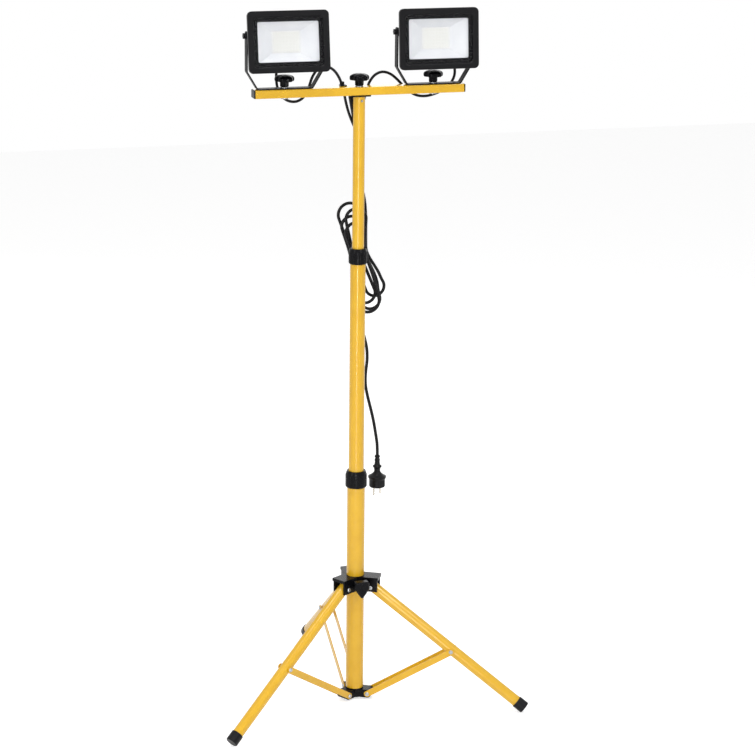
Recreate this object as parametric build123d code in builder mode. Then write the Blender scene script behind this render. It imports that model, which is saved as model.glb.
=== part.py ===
"""Twin LED work light on a telescopic tripod.

Frame: millimetres, +Z up, origin on the floor under the mast axis.
The crossbar runs along X and both lamps face -Y.
"""

from build123d import *
import os
from math import asin, atan2, cos, degrees, hypot, pi, radians, sin, sqrt, tan

os.makedirs("parts", exist_ok=True)

# ---------------------------------------------------------------- driving dimensions
# Mast: three telescoping round tubes
lower_tube_r = 20.0
middle_tube_r = 17.0
top_tube_r = 13.0
mast_wall = 1.5
lower_tube_len = 502.0
middle_tube_len = 573.0
top_tube_len = 405.0
lower_overlap = 64.0        # middle tube left inside the lower tube, mast extended
upper_overlap = 58.0        # top tube left inside the middle tube, mast extended
bush_len = 30.0
bush_flange = 3.0

# Tripod
leg_azimuths = {"rear": 92.0, "left": -148.0, "right": -28.0}
leg_spread = 53.6           # degrees from the vertical, legs open
leg_len = 441.5             # hub pivot to the end of the foot cap
leg_r = 12.5
leg_wall = 1.2
leg_above_pivot = 8.0
leg_pivot_r = 38.8          # hub pivot, from the mast axis
strut_pivot_r = 33.0        # lower hub pivot, from the mast axis
strut_pivot_z = 14.5
strut_on_leg = 232.0        # hub pivot to strut rivet, along the leg
strut_w = 14.0
strut_t = 2.0
rivet_r = 3.0
rivet_head_r = 5.0
rivet_head_h = 2.0
cap_r = 13.9
cap_len = 24.0
cap_floor = 4.0
cap_edge = 2.0

# Lower hub
floor_gap = 5.0
lower_hub_h = 21.0
lower_hub_r = 19.5
spigot_h = 24.0
spigot_bore_r = 14.0
arm_half = 14.1
arm_end_r = 9.5
core_wall = 3.0

# Slide hub
sleeve_wall = 3.1
hub_drop = 9.0              # hub below the leg pivots
hub_rise = 25.0             # hub above the leg pivots
cheek_gap = 0.5             # between a leg and each cheek
cheek_t = 4.0
cheek_r = 54.0
cheek_corner = 6.0
cover_r = 56.0
cover_t = 3.0
cover_skirt = 7.0
cover_over = 1.5
lock_azimuth = -88.0
lock_above_pivot = 5.0
lock_boss_r = 9.0
lock_boss_end = 34.0
lock_stud_r = 4.0
lock_half_w = 16.5          # lock knob grip: a rounded shield with its point down
lock_up = 18.0
lock_down = 21.0
lock_corner = 4.0
lock_chamfer = 3.0
lock_depth = 17.0
lock_stem_r = 9.0
lock_stem_h = 6.0

# Clamping collars
lower_nut_r = 24.0
upper_nut_r = 20.5
nut_below = 23.0            # nut below the end of the tube it grips
nut_above = 15.0
upper_nut_below = 21.0
upper_nut_above = 13.0
collet_wall = 1.5
collet_sleeve = 20.0
collet_shoulder = 3.0
nut_grooves = 16
groove_r = 2.0
groove_depth = 0.7

# Crossbar
bar_half = 229.0
bar_depth = 30.0
bar_h = 18.0
bar_wall = 1.5
bar_corner = 2.0
end_cap_t = 5.0
end_cap_spigot = 12.0
head_plate_t = 2.5
head_plate = (46.0, 32.0)
head_spigot_len = 30.0
head_web = 6.0
head_bore_r = 9.5

# Bolts and star knobs
bolt_r = 4.0
bolt_head_r = 8.0
bolt_head_h = 3.0
centre_head_r = 6.5
centre_head_h = 5.0
washer_r = 8.5
washer_t = 1.6
knob_core_r = 15.0
knob_lobe_r = 6.0
knob_lobe_at = 16.0
knob_lobes = 6
knob_head_h = 11.0
knob_stem_r = 8.5
knob_stem_h = 12.0
knob_edge = 3.0
knob_cap = 4.0              # material over the end of the bolt

# Lamp brackets
bracket_x = 165.0
bracket_base_half = 60.5
bracket_half = 84.0
bracket_shoulder = 39.0
bracket_pivot_h = 114.5     # tilt axis over the bar's top face
bracket_w = 20.0
bracket_t = 2.5
bracket_bend = 6.0

# Lamps; heights are taken forward from the tilt axis
lamp_tilt = {"left": 9.0, "right": 5.0}      # degrees that the face looks up
lamp_drop = 15.0            # lamp centre under the tilt axis
bezel_w, bezel_h, bezel_corner = 176.0, 130.0, 10.0
bezel_back, bezel_front = 32.0, 42.0
window_w, window_h = 152.0, 106.0
bezel_edge = 1.5
lip_t = 3.5
lip_slope = 2.5
glass_w, glass_h, glass_t = 158.0, 112.0, 3.0
glass_corner = 5.0
rear_w, rear_h, rear_corner = 154.0, 108.0, 8.0
front_w, front_h = 161.0, 118.0
housing_back = 8.0
housing_wall = 2.5
housing_floor = 4.0
fin_h, fin_t, fin_pitch, fin_count = 14.0, 2.0, 12.0, 11
fin_len = 94.0
fin_gap = 4.0               # round the gland boss
board_w, board_h, board_t = 64.0, 48.0, 1.6
emitter_w, emitter_h, emitter_t = 56.0, 42.0, 0.8
reflector_t = 1.0
reflector_inset = 3.0       # reflector's mouth inside the housing's
lug_r = 9.0
lug_t = 10.0
lug_outer = 79.0
pivot_bolt_r = 3.0
pivot_bolt_head_r = 6.8
pivot_bolt_head_h = 5.4
gland_down = 42.0
gland_boss_r = 10.0
gland_boss_h = 12.0
gland_r = 8.0
gland_len = 22.0
gland_nut_h = 8.0

# Cables
lead_r = 3.0
main_r = 3.5
split_y, split_t = 13.5, 10.0      # splitter: nearest face behind the mast axis, thickness
split_left, split_right, split_half = 19.0, 18.0, 12.0
split_taper, split_len, split_point = 65.0, 109.0, 10.0
split_edge = 1.5
hank_front, hank_t = 36.0, 35.5
hank_edge = 8.0
strap_w, strap_t = 12.0, 1.5
strap_x, strap_z, strap_room = 18.0, 1023.0, 54.5
tongue_x, pad_z = 8.0, 965.0
plug_x, plug_y, plug_face_z = 59.5, 38.0, 488.0
plug_turn = 24.9
pin_r, pin_len, pin_pitch = 2.4, 19.0, 19.0
pin_root, pin_root_r = 6.0, 2.0     # thinner end moulded into the plug
pin_tip = 1.2
pin_relief = 0.5            # thinner root showing under the plug's face

# Clearances
slide_gap = 0.3             # round parts that slide or lie close
run_gap = 0.1               # pins and bolts that turn in a hole
press_gap = 0.05            # fixed parts in one another
side_gap = 0.3              # flat moving faces

# ---------------------------------------------------------------- derived sizes
leg_tilt = radians(leg_spread)
pivot_z = (leg_len - cap_edge) * cos(leg_tilt) + (cap_r - cap_edge) * sin(leg_tilt) + cap_edge
strut_top_r = leg_pivot_r + strut_on_leg * sin(leg_tilt)
strut_top_z = pivot_z - strut_on_leg * cos(leg_tilt)
strut_len = hypot(strut_top_r - strut_pivot_r, strut_top_z - strut_pivot_z)
strut_rise = degrees(atan2(strut_top_z - strut_pivot_z, strut_top_r - strut_pivot_r))
strut_in = arm_half + side_gap
strut_out = strut_in + strut_t
strut_folded = degrees(asin((leg_pivot_r - strut_pivot_r) / strut_len))
hub_travel = strut_pivot_z + strut_len * cos(radians(strut_folded)) + strut_on_leg - pivot_z

tube_seat_z = floor_gap + lower_hub_h
lower_top_z = tube_seat_z + lower_tube_len
middle_bottom_z = lower_top_z - lower_overlap
middle_top_z = middle_bottom_z + middle_tube_len
top_bottom_z = middle_top_z - upper_overlap
mast_top_z = top_bottom_z + top_tube_len
bar_bottom_z = mast_top_z + head_plate_t
bar_top_z = bar_bottom_z + bar_h
bar_mid_z = bar_bottom_z + bar_h / 2
tilt_axis_z = bar_top_z + bracket_pivot_h
lamp_knob_z = bar_top_z + bracket_t + washer_t + side_gap
centre_knob_z = bar_top_z + washer_t + side_gap
knob_h = knob_stem_h + knob_head_h
glass_back = bezel_front - lip_t - glass_t
board_front = housing_back + housing_floor + board_t
funnel_front = glass_back - slide_gap


# ---------------------------------------------------------------- helpers
def save(solid, name):
    """Label a finished piece and write it to its own file."""
    solid.label = name
    export_step(solid, f"parts/{name}.step")


def radial_plane(azimuth, radius=0.0, height=0.0):
    """Upright plane holding the mast axis: local X outward, local Y up, normal sideways."""
    a = radians(azimuth)
    out = Vector(cos(a), sin(a), 0)
    return Plane(origin=out * radius + Vector(0, 0, height), x_dir=out, z_dir=(sin(a), -cos(a), 0))


def turned(outline):
    """Solid turned about an upright axis from a closed outline of (radius, height) corners."""
    with BuildPart() as piece:
        with BuildSketch(Plane(origin=(0, 0, 0), x_dir=(1, 0, 0), z_dir=(0, -1, 0))):
            with BuildLine():
                Polyline(*outline, close=True)
            make_face()
        revolve(axis=Axis.Z)
    return piece.part


def round_tube(plane, radius, wall, length):
    """Open tube standing on a plane."""
    with BuildPart() as tube:
        with BuildSketch(plane):
            Circle(radius)
            Circle(radius - wall, mode=Mode.SUBTRACT)
        extrude(amount=length)
    return tube.part


def rivet(plane, grip):
    """Rivet through a pivot, along the plane's normal, with a domed head past each end."""
    with BuildPart() as pin:
        with BuildSketch(plane):
            Circle(rivet_r)
        extrude(amount=grip, both=True)
        for side in (1, -1):
            with BuildSketch(plane.offset(side * grip)):
                Circle(rivet_head_r)
            extrude(amount=side * rivet_head_h, taper=35)
    return pin.part


# ---------------------------------------------------------------- lower hub
with BuildPart() as lower_hub:
    with BuildSketch(Plane.XY.offset(floor_gap)):
        Circle(lower_hub_r)
    extrude(amount=lower_hub_h)
    with BuildSketch(Plane.XY.offset(tube_seat_z)):
        Circle(lower_tube_r - mast_wall - press_gap)
    extrude(amount=spigot_h)
    for azimuth in leg_azimuths.values():
        arm_plane = radial_plane(azimuth)
        arm_top = strut_pivot_z + arm_end_r
        with BuildSketch(arm_plane):
            with Locations((strut_pivot_r / 2, (floor_gap + arm_top) / 2)):
                Rectangle(strut_pivot_r, arm_top - floor_gap)
            with Locations((strut_pivot_r, strut_pivot_z)):
                Circle(arm_end_r)
        extrude(amount=arm_half, both=True)
    # cup in the spigot, open at its top
    with BuildSketch(Plane.XY.offset(tube_seat_z + spigot_h)):
        Circle(spigot_bore_r)
    extrude(amount=-spigot_h - lower_hub_h / 2, mode=Mode.SUBTRACT)
    for azimuth in leg_azimuths.values():
        arm_plane = radial_plane(azimuth)
        # rivet hole, and a moulded pocket each side of the arm's middle rib
        with BuildSketch(arm_plane):
            with Locations((strut_pivot_r, strut_pivot_z)):
                Circle(rivet_r + press_gap)
        extrude(amount=arm_half, both=True, mode=Mode.SUBTRACT)
        for side in (1, -1):
            with BuildSketch(arm_plane.offset(side * core_wall / 2)):
                with Locations((lower_hub_r + core_wall, floor_gap)):
                    Rectangle(6.0, arm_top - floor_gap - core_wall, align=(Align.MIN, Align.MIN))
            extrude(amount=side * (arm_half - 1.5 * core_wall), mode=Mode.SUBTRACT)
lower_hub.part.label = "lower_hub"
export_step(lower_hub.part, "parts/lower_hub.step")

strut_grip = strut_out + side_gap
lower_hub_rivets = Compound(
    children=[
        rivet(radial_plane(a, strut_pivot_r, strut_pivot_z), strut_grip) for a in leg_azimuths.values()
    ]
)
save(lower_hub_rivets, "lower_hub_rivets")

# ---------------------------------------------------------------- mast tubes and guide bushes
lower_tube = round_tube(Plane.XY.offset(tube_seat_z), lower_tube_r, mast_wall, lower_tube_len)
save(lower_tube, "lower_tube")
middle_tube = round_tube(
    Plane.XY.offset(middle_bottom_z), middle_tube_r, mast_wall, middle_tube_len
)
save(middle_tube, "middle_tube")
top_tube = round_tube(Plane.XY.offset(top_bottom_z), top_tube_r, mast_wall, top_tube_len)
save(top_tube, "top_tube")


def guide_bush(tube_r, tube_bottom, outer_tube_r):
    """Plastic sleeve on a sliding tube's lower end, running in the next tube out."""
    outer = outer_tube_r - mast_wall - slide_gap
    inner = tube_r - mast_wall - bush_flange
    low = tube_bottom - bush_flange
    high = tube_bottom + bush_len
    return turned(
        [
            (inner, low),
            (outer - 1, low),
            (outer, low + 1),
            (outer, high),
            (tube_r + press_gap, high),
            (tube_r + press_gap, tube_bottom),
            (inner, tube_bottom),
        ]
    )


save(guide_bush(middle_tube_r, middle_bottom_z, lower_tube_r), "middle_bush")
save(guide_bush(top_tube_r, top_bottom_z, middle_tube_r), "top_bush")


# ---------------------------------------------------------------- clamping collars
def collet(tube_r, inner_r, tube_top):
    """Slit sleeve on the end of a tube: its tapered fingers grip the sliding tube."""
    outer = tube_r + press_gap + collet_wall
    bore = inner_r + slide_gap
    shoulder = tube_top + collet_shoulder
    tip = shoulder + 7.0
    with BuildPart() as ring:
        with BuildSketch(Plane(origin=(0, 0, 0), x_dir=(1, 0, 0), z_dir=(0, -1, 0))):
            with BuildLine():
                Polyline(
                    (tube_r + press_gap, tube_top - collet_sleeve),
                    (outer, tube_top - collet_sleeve),
                    (outer, shoulder),
                    (bore + 1.6, tip),
                    (bore, tip),
                    (bore, tube_top),
                    (tube_r + press_gap, tube_top),
                    close=True,
                )
            make_face()
        revolve(axis=Axis.Z)
        with BuildSketch(Plane.XY.offset(tip)):
            for turn in (0, 60, 120):
                Rectangle(2 * outer + 2, 1.5, rotation=turn)
        extrude(amount=shoulder - tip, mode=Mode.SUBTRACT)
    return ring.part


def clamp_nut(nut_r, tube_r, inner_r, tube_top, below, above):
    """Grooved collar: its inner cone closes the collet on the sliding tube."""
    bore = tube_r + press_gap + collet_wall + slide_gap
    shoulder = tube_top + collet_shoulder + slide_gap
    mouth = inner_r + slide_gap + 0.2
    cone_top = shoulder + 7.3
    bottom = tube_top - below
    top = tube_top + above
    chamfer_h = (top - shoulder) * 0.8
    with BuildPart() as nut:
        with BuildSketch(Plane(origin=(0, 0, 0), x_dir=(1, 0, 0), z_dir=(0, -1, 0))):
            with BuildLine():
                Polyline(
                    (bore, bottom),
                    (nut_r - 1.5, bottom),
                    (nut_r, bottom + 2.5),
                    (nut_r, top - chamfer_h),
                    (nut_r - 3.2, top),
                    (mouth, top),
                    (mouth, cone_top),
                    (inner_r + 2 * slide_gap + 1.8, cone_top),
                    (bore, shoulder),
                    close=True,
                )
            make_face()
        revolve(axis=Axis.Z)
        with BuildSketch(Plane.XY.offset(bottom)):
            with PolarLocations(nut_r + groove_r - groove_depth, nut_grooves):
                Circle(groove_r)
        extrude(amount=top - bottom, mode=Mode.SUBTRACT)
    return nut.part


save(collet(lower_tube_r, middle_tube_r, lower_top_z), "lower_collet")
lower_clamp_nut = clamp_nut(
    lower_nut_r, lower_tube_r, middle_tube_r, lower_top_z, nut_below, nut_above
)
save(lower_clamp_nut, "lower_clamp_nut")
save(collet(middle_tube_r, top_tube_r, middle_top_z), "upper_collet")
upper_clamp_nut = clamp_nut(
    upper_nut_r, middle_tube_r, top_tube_r, middle_top_z, upper_nut_below, upper_nut_above
)
save(upper_clamp_nut, "upper_clamp_nut")

# ---------------------------------------------------------------- slide hub
sleeve_bore_r = lower_tube_r + slide_gap
sleeve_r = sleeve_bore_r + sleeve_wall
cheek_in = leg_r + cheek_gap
cheek_out = cheek_in + cheek_t
cover_half = cheek_out + cover_over
hub_bottom_z = pivot_z - hub_drop
hub_top_z = pivot_z + hub_rise
lock_z = pivot_z + lock_above_pivot
lock_plane = Plane(
    origin=(
        lock_boss_end * cos(radians(lock_azimuth)),
        lock_boss_end * sin(radians(lock_azimuth)),
        lock_z,
    ),
    x_dir=(-sin(radians(lock_azimuth)), cos(radians(lock_azimuth)), 0),
    z_dir=(cos(radians(lock_azimuth)), sin(radians(lock_azimuth)), 0),
)

with BuildPart() as slide_hub:
    with BuildSketch(Plane.XY.offset(hub_bottom_z)):
        Circle(sleeve_r)
    extrude(amount=hub_top_z - hub_bottom_z)
    with BuildSketch(lock_plane):
        Circle(lock_boss_r)
    extrude(amount=-(lock_boss_end - sleeve_bore_r / 2))
    for azimuth in leg_azimuths.values():
        arm_plane = radial_plane(azimuth, 0, pivot_z)
        # two cheeks, one each side of the leg
        for side in (1, -1):
            with BuildSketch(arm_plane.offset(side * cheek_in)) as cheek:
                with Locations((0, -hub_drop)):
                    Rectangle(cheek_r, hub_drop + hub_rise, align=(Align.MIN, Align.MIN))
                low_corners = cheek.vertices().sort_by(Axis.Z)[:2]
                fillet(low_corners.sort_by(lambda v: hypot(v.X, v.Y))[-1:], cheek_corner)
            extrude(amount=side * cheek_t)
        # cover over the leg's end, with a skirt round it
        with BuildSketch(arm_plane):
            with Locations((0, hub_rise - cover_skirt)):
                Rectangle(cover_r, cover_skirt, align=(Align.MIN, Align.MIN))
        extrude(amount=cover_half, both=True)
        with BuildSketch(arm_plane):
            with Locations((sleeve_r, hub_rise - cover_skirt)):
                Rectangle(
                    cover_r - cover_over - sleeve_r, cover_skirt - cover_t,
                    align=(Align.MIN, Align.MIN),
                )
        extrude(amount=cheek_in, both=True, mode=Mode.SUBTRACT)
        # rivet hole
        with BuildSketch(arm_plane):
            with Locations((leg_pivot_r, 0)):
                Circle(rivet_r + press_gap)
        extrude(amount=cover_half, both=True, mode=Mode.SUBTRACT)
    with BuildSketch(Plane.XY.offset(hub_bottom_z)):
        Circle(sleeve_bore_r)
    extrude(amount=hub_top_z - hub_bottom_z, mode=Mode.SUBTRACT)
    with BuildSketch(lock_plane):
        Circle(lock_stud_r + run_gap)
    extrude(amount=-(lock_boss_end - sleeve_bore_r / 2), mode=Mode.SUBTRACT)
slide_hub.part.label = "slide_hub"
export_step(slide_hub.part, "parts/slide_hub.step")

hub_grip = cheek_out + slide_gap
hub_rivets = Compound(
    children=[rivet(radial_plane(a, leg_pivot_r, pivot_z), hub_grip) for a in leg_azimuths.values()]
)
save(hub_rivets, "hub_rivets")

# ---------------------------------------------------------------- lock knob
# A shield-shaped grip, point down, on a stud that presses on the lower tube.
with BuildPart() as lock_knob:
    with BuildSketch(lock_plane.offset(side_gap)):
        Circle(lock_stem_r)
    extrude(amount=lock_stem_h)
    with BuildSketch(lock_plane.offset(side_gap + lock_stem_h)) as grip:
        with BuildLine():
            Polyline(
                (-lock_half_w, lock_up),
                (lock_half_w, lock_up),
                (lock_half_w, 0),
                (0, -lock_down - lock_corner / 2),
                (-lock_half_w, 0),
                close=True,
            )
        make_face()
        fillet(grip.vertices(), lock_corner)
    extrude(amount=lock_depth)
    chamfer(lock_knob.faces().sort_by(Axis.Y)[:1].edges(), lock_chamfer)
    with BuildSketch(lock_plane.offset(side_gap)):
        Circle(lock_stud_r)
    extrude(amount=-(lock_boss_end + side_gap - lower_tube_r - slide_gap))
lock_knob.part.label = "lock_knob"
export_step(lock_knob.part, "parts/lock_knob.step")

# ---------------------------------------------------------------- legs and struts
for side_name, azimuth in leg_azimuths.items():
    upright = radial_plane(azimuth, leg_pivot_r, pivot_z)
    along = upright.x_dir * sin(leg_tilt) + Vector(0, 0, -cos(leg_tilt))
    leg_plane = Plane(origin=upright.origin, x_dir=upright.z_dir, z_dir=along)

    with BuildPart() as leg:
        with BuildSketch(leg_plane.offset(-leg_above_pivot)):
            Circle(leg_r)
            Circle(leg_r - leg_wall, mode=Mode.SUBTRACT)
        extrude(amount=leg_above_pivot + leg_len - cap_floor)
        with BuildSketch(upright):
            Circle(rivet_r + run_gap)
        extrude(amount=leg_r, both=True, mode=Mode.SUBTRACT)
    leg.part.label = f"{side_name}_leg"
    export_step(leg.part, f"parts/{side_name}_leg.step")

    with BuildPart() as foot_cap:
        with BuildSketch(leg_plane.offset(leg_len - cap_len)):
            Circle(cap_r)
        extrude(amount=cap_len)
        fillet(foot_cap.faces().sort_by(Axis.Z)[0:1].edges().sort_by(Axis.Z)[0:1], cap_edge)
        with BuildSketch(leg_plane.offset(leg_len - cap_len)):
            Circle(leg_r + press_gap)
        extrude(amount=cap_len - cap_floor, mode=Mode.SUBTRACT)
    foot_cap.part.label = f"{side_name}_leg_cap"
    export_step(foot_cap.part, f"parts/{side_name}_leg_cap.step")

    # two flat bars with round ends, one each side of the leg
    low_pivot = radial_plane(azimuth, strut_pivot_r, strut_pivot_z)
    strut_centre = (
        (strut_top_r - strut_pivot_r) / 2,
        (strut_top_z - strut_pivot_z) / 2,
    )
    with BuildPart() as strut:
        for side in (1, -1):
            with BuildSketch(low_pivot.offset(side * strut_in)):
                with Locations(strut_centre):
                    SlotCenterToCenter(strut_len, strut_w, rotation=strut_rise)
                with Locations((0, 0)):
                    Circle(rivet_r + run_gap, mode=Mode.SUBTRACT)
                with Locations((strut_top_r - strut_pivot_r, strut_top_z - strut_pivot_z)):
                    Circle(rivet_r + press_gap, mode=Mode.SUBTRACT)
            extrude(amount=side * strut_t)
    strut.part.label = f"{side_name}_strut"
    export_step(strut.part, f"parts/{side_name}_strut.step")

    # shouldered rivets at the leg, one in each bar
    high_pivot = radial_plane(azimuth, strut_top_r, strut_top_z)
    with BuildPart() as strut_rivets:
        for side in (1, -1):
            with BuildSketch(high_pivot.offset(side * (leg_r + slide_gap))):
                Circle(rivet_r)
            extrude(amount=side * (strut_out - leg_r - slide_gap))
            with BuildSketch(high_pivot.offset(side * strut_out)):
                Circle(rivet_head_r)
            extrude(amount=side * rivet_head_h, taper=35)
    strut_rivets.part.label = f"{side_name}_strut_rivets"
    export_step(strut_rivets.part, f"parts/{side_name}_strut_rivets.step")

# ---------------------------------------------------------------- mast head
with BuildPart() as mast_head:
    with BuildSketch(Plane.XY.offset(mast_top_z)):
        RectangleRounded(*head_plate, 4.0)
    extrude(amount=head_plate_t)
    with BuildSketch(Plane.XY.offset(mast_top_z)):
        Circle(top_tube_r - mast_wall - press_gap)
    extrude(amount=-head_spigot_len)
    with BuildSketch(Plane.XY.offset(mast_top_z - head_spigot_len)):
        Circle(head_bore_r)
    extrude(amount=head_spigot_len - head_web, mode=Mode.SUBTRACT)
    with BuildSketch(Plane.XY.offset(bar_bottom_z)):
        Circle(bolt_r + run_gap)
    extrude(amount=-head_plate_t - head_web, mode=Mode.SUBTRACT)
mast_head.part.label = "mast_head"
export_step(mast_head.part, "parts/mast_head.step")

# Pan-head screw that fixes the head in the tube, on the front of the mast
screw_plane = Plane(
    origin=(0.2 * top_tube_r, -sqrt(1 - 0.04) * top_tube_r, mast_top_z - 9.5),
    x_dir=(1, 0, 0),
    z_dir=(0.2, -sqrt(1 - 0.04), 0),
)
with BuildPart() as mast_head_screw:
    with BuildSketch(screw_plane):
        Circle(3.0)
    extrude(amount=2.0, taper=25)
mast_head_screw.part.label = "mast_head_screw"
export_step(mast_head_screw.part, "parts/mast_head_screw.step")

# ---------------------------------------------------------------- crossbar
bolt_xs = (-bracket_x, 0.0, bracket_x)
bar_start = Plane(origin=(-bar_half, 0, bar_mid_z), x_dir=(0, 1, 0), z_dir=(1, 0, 0))
with BuildPart() as crossbar_tube:
    with BuildSketch(bar_start):
        RectangleRounded(bar_depth, bar_h, bar_corner)
        Rectangle(bar_depth - 2 * bar_wall, bar_h - 2 * bar_wall, mode=Mode.SUBTRACT)
    extrude(amount=2 * bar_half)
    with BuildSketch(Plane.XY.offset(bar_bottom_z)):
        with Locations(*[(x, 0) for x in bolt_xs]):
            Circle(bolt_r + run_gap)
    extrude(amount=bar_h, mode=Mode.SUBTRACT)
crossbar_tube.part.label = "crossbar_tube"
export_step(crossbar_tube.part, "parts/crossbar_tube.step")

with BuildPart() as crossbar_end_caps:
    for side in (1, -1):
        end = Plane(origin=(side * bar_half, 0, bar_mid_z), x_dir=(0, side, 0), z_dir=(side, 0, 0))
        with BuildSketch(end):
            RectangleRounded(bar_depth, bar_h, bar_corner)
        extrude(amount=end_cap_t, taper=8)
        with BuildSketch(end):
            Rectangle(
                bar_depth - 2 * (bar_wall + press_gap), bar_h - 2 * (bar_wall + press_gap)
            )
            Rectangle(bar_depth - 10, bar_h - 10, mode=Mode.SUBTRACT)
        extrude(amount=-end_cap_spigot)
crossbar_end_caps.part.label = "crossbar_end_caps"
export_step(crossbar_end_caps.part, "parts/crossbar_end_caps.step")

# Three upright bolts with their washers: the outer two hold the brackets,
# the middle one turns in the mast head.
with BuildPart() as bar_bolts:
    for x in bolt_xs:
        outer_bolt = x != 0.0
        knob_z = lamp_knob_z if outer_bolt else centre_knob_z
        head_top = bar_bottom_z if outer_bolt else mast_top_z - head_web - side_gap
        tip = knob_z + knob_h - knob_cap - side_gap
        with BuildSketch(Plane(origin=(x, 0, head_top))):
            Circle(bolt_r)
        extrude(amount=tip - head_top)
        with BuildSketch(Plane(origin=(x, 0, head_top))):
            if outer_bolt:
                Circle(bolt_head_r)
            else:
                RegularPolygon(centre_head_r, 6)
        extrude(amount=-bolt_head_h if outer_bolt else -centre_head_h)
        with BuildSketch(Plane(origin=(x, 0, knob_z - side_gap))):
            Circle(washer_r)
            Circle(bolt_r + run_gap, mode=Mode.SUBTRACT)
        extrude(amount=-washer_t)
bar_bolts.part.label = "bar_bolts"
export_step(bar_bolts.part, "parts/bar_bolts.step")


# ---------------------------------------------------------------- star knobs
def star_knob(x, base_z):
    """Moulded six-lobed hand nut with a blind bore for its bolt."""
    base = Plane(origin=(x, 0, base_z))
    with BuildPart() as knob:
        with BuildSketch(base.offset(knob_stem_h)) as plan:
            Circle(knob_core_r)
            with PolarLocations(knob_lobe_at, knob_lobes):
                Circle(knob_lobe_r)
            fillet(plan.vertices(), 2.0)
        extrude(amount=knob_head_h)
        fillet(knob.faces().sort_by(Axis.Z)[-1:].edges(), knob_edge)
        with BuildSketch(base):
            Circle(knob_stem_r)
        extrude(amount=knob_stem_h)
        with BuildSketch(base):
            Circle(bolt_r + run_gap)
        extrude(amount=knob_h - knob_cap, mode=Mode.SUBTRACT)
    return knob.part


save(star_knob(0.0, centre_knob_z), "centre_knob")
save(star_knob(-bracket_x, lamp_knob_z), "left_knob")
save(star_knob(bracket_x, lamp_knob_z), "right_knob")


# ---------------------------------------------------------------- lamp brackets
def bracket(x):
    """Flat strip bent to a yoke: slanted shoulders, upright arms with round ends."""
    here = Plane(origin=(x, bracket_w / 2, bar_top_z), x_dir=(1, 0, 0), z_dir=(0, -1, 0))
    with BuildPart() as yoke:
        with BuildSketch(here) as outline:
            with BuildLine():
                Polyline(
                    (-bracket_half, bracket_pivot_h + bracket_w),
                    (-bracket_half, bracket_shoulder),
                    (-bracket_base_half, 0),
                    (bracket_base_half, 0),
                    (bracket_half, bracket_shoulder),
                    (bracket_half, bracket_pivot_h + bracket_w),
                    close=True,
                )
            make_face()
            fillet(outline.vertices().sort_by(Axis.Y)[:4], bracket_bend)
            offset(amount=-bracket_t, kind=Kind.INTERSECTION, mode=Mode.SUBTRACT)
        extrude(amount=bracket_w)
        # open top, round arm ends
        side_view = Plane(origin=(x, 0, bar_top_z), x_dir=(0, 1, 0), z_dir=(1, 0, 0))
        with BuildSketch(side_view):
            Rectangle(bracket_w, bracket_pivot_h, align=(Align.CENTER, Align.MIN))
            with Locations((0, bracket_pivot_h)):
                Circle(bracket_w / 2)
        extrude(amount=bracket_half, both=True, mode=Mode.INTERSECT)
        with BuildSketch(side_view):
            with Locations((0, bracket_pivot_h)):
                Circle(pivot_bolt_r + run_gap)
        extrude(amount=bracket_half, both=True, mode=Mode.SUBTRACT)
        with BuildSketch(Plane(origin=(x, 0, bar_top_z))):
            Circle(bolt_r + run_gap)
        extrude(amount=bracket_t, mode=Mode.SUBTRACT)
    return yoke.part


# ---------------------------------------------------------------- lamps
def housing(lamp):
    """Cast shell: tapered tray, cooling fins behind, pivot lugs and gland boss."""
    centre = lamp.location * Location((0, -lamp_drop, 0))
    mid = Plane(centre)
    with BuildPart() as shell:
        with BuildSketch(mid.offset(housing_back)):
            RectangleRounded(rear_w, rear_h, rear_corner)
        with BuildSketch(mid.offset(bezel_back)):
            RectangleRounded(front_w, front_h, bezel_corner)
        loft()
        with BuildSketch(mid.offset(bezel_back)):
            RectangleRounded(front_w, front_h, bezel_corner)
        extrude(amount=glass_back - bezel_back)
        # tray, then the narrower mouth that carries the glass
        with BuildSketch(mid.offset(housing_back + housing_floor)):
            RectangleRounded(rear_w - 2 * housing_wall, rear_h - 2 * housing_wall, rear_corner)
        with BuildSketch(mid.offset(bezel_back)):
            RectangleRounded(window_w, window_h, rear_corner)
        loft(mode=Mode.SUBTRACT)
        with BuildSketch(mid.offset(bezel_back)):
            RectangleRounded(window_w, window_h, rear_corner)
        extrude(amount=glass_back - bezel_back, mode=Mode.SUBTRACT)
        # upright cooling fins, cut away round the gland
        with BuildSketch(mid.offset(housing_back)):
            with GridLocations(fin_pitch, 1, fin_count, 1):
                Rectangle(fin_t, fin_len)
            with Locations((0, lamp_drop - gland_down)):
                Circle(gland_boss_r + fin_gap, mode=Mode.SUBTRACT)
        extrude(amount=-fin_h)
        with BuildSketch(lamp.offset(housing_back)):
            with Locations((0, -gland_down)):
                Circle(gland_boss_r)
        extrude(amount=-gland_boss_h)
        # pivot lugs
        for side in (1, -1):
            lug_plane = Plane(
                origin=lamp.from_local_coords((side * lug_outer, 0, 0)),
                x_dir=lamp.z_dir,
                z_dir=lamp.x_dir,
            )
            with BuildSketch(lug_plane):
                Circle(lug_r)
                Rectangle(
                    housing_back + housing_floor / 2, 2 * lug_r, align=(Align.MIN, Align.CENTER)
                )
            extrude(amount=-side * lug_t)
            with BuildSketch(lug_plane):
                Circle(pivot_bolt_r + press_gap)
            extrude(amount=-side * lug_t, mode=Mode.SUBTRACT)
    return shell.part


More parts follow.
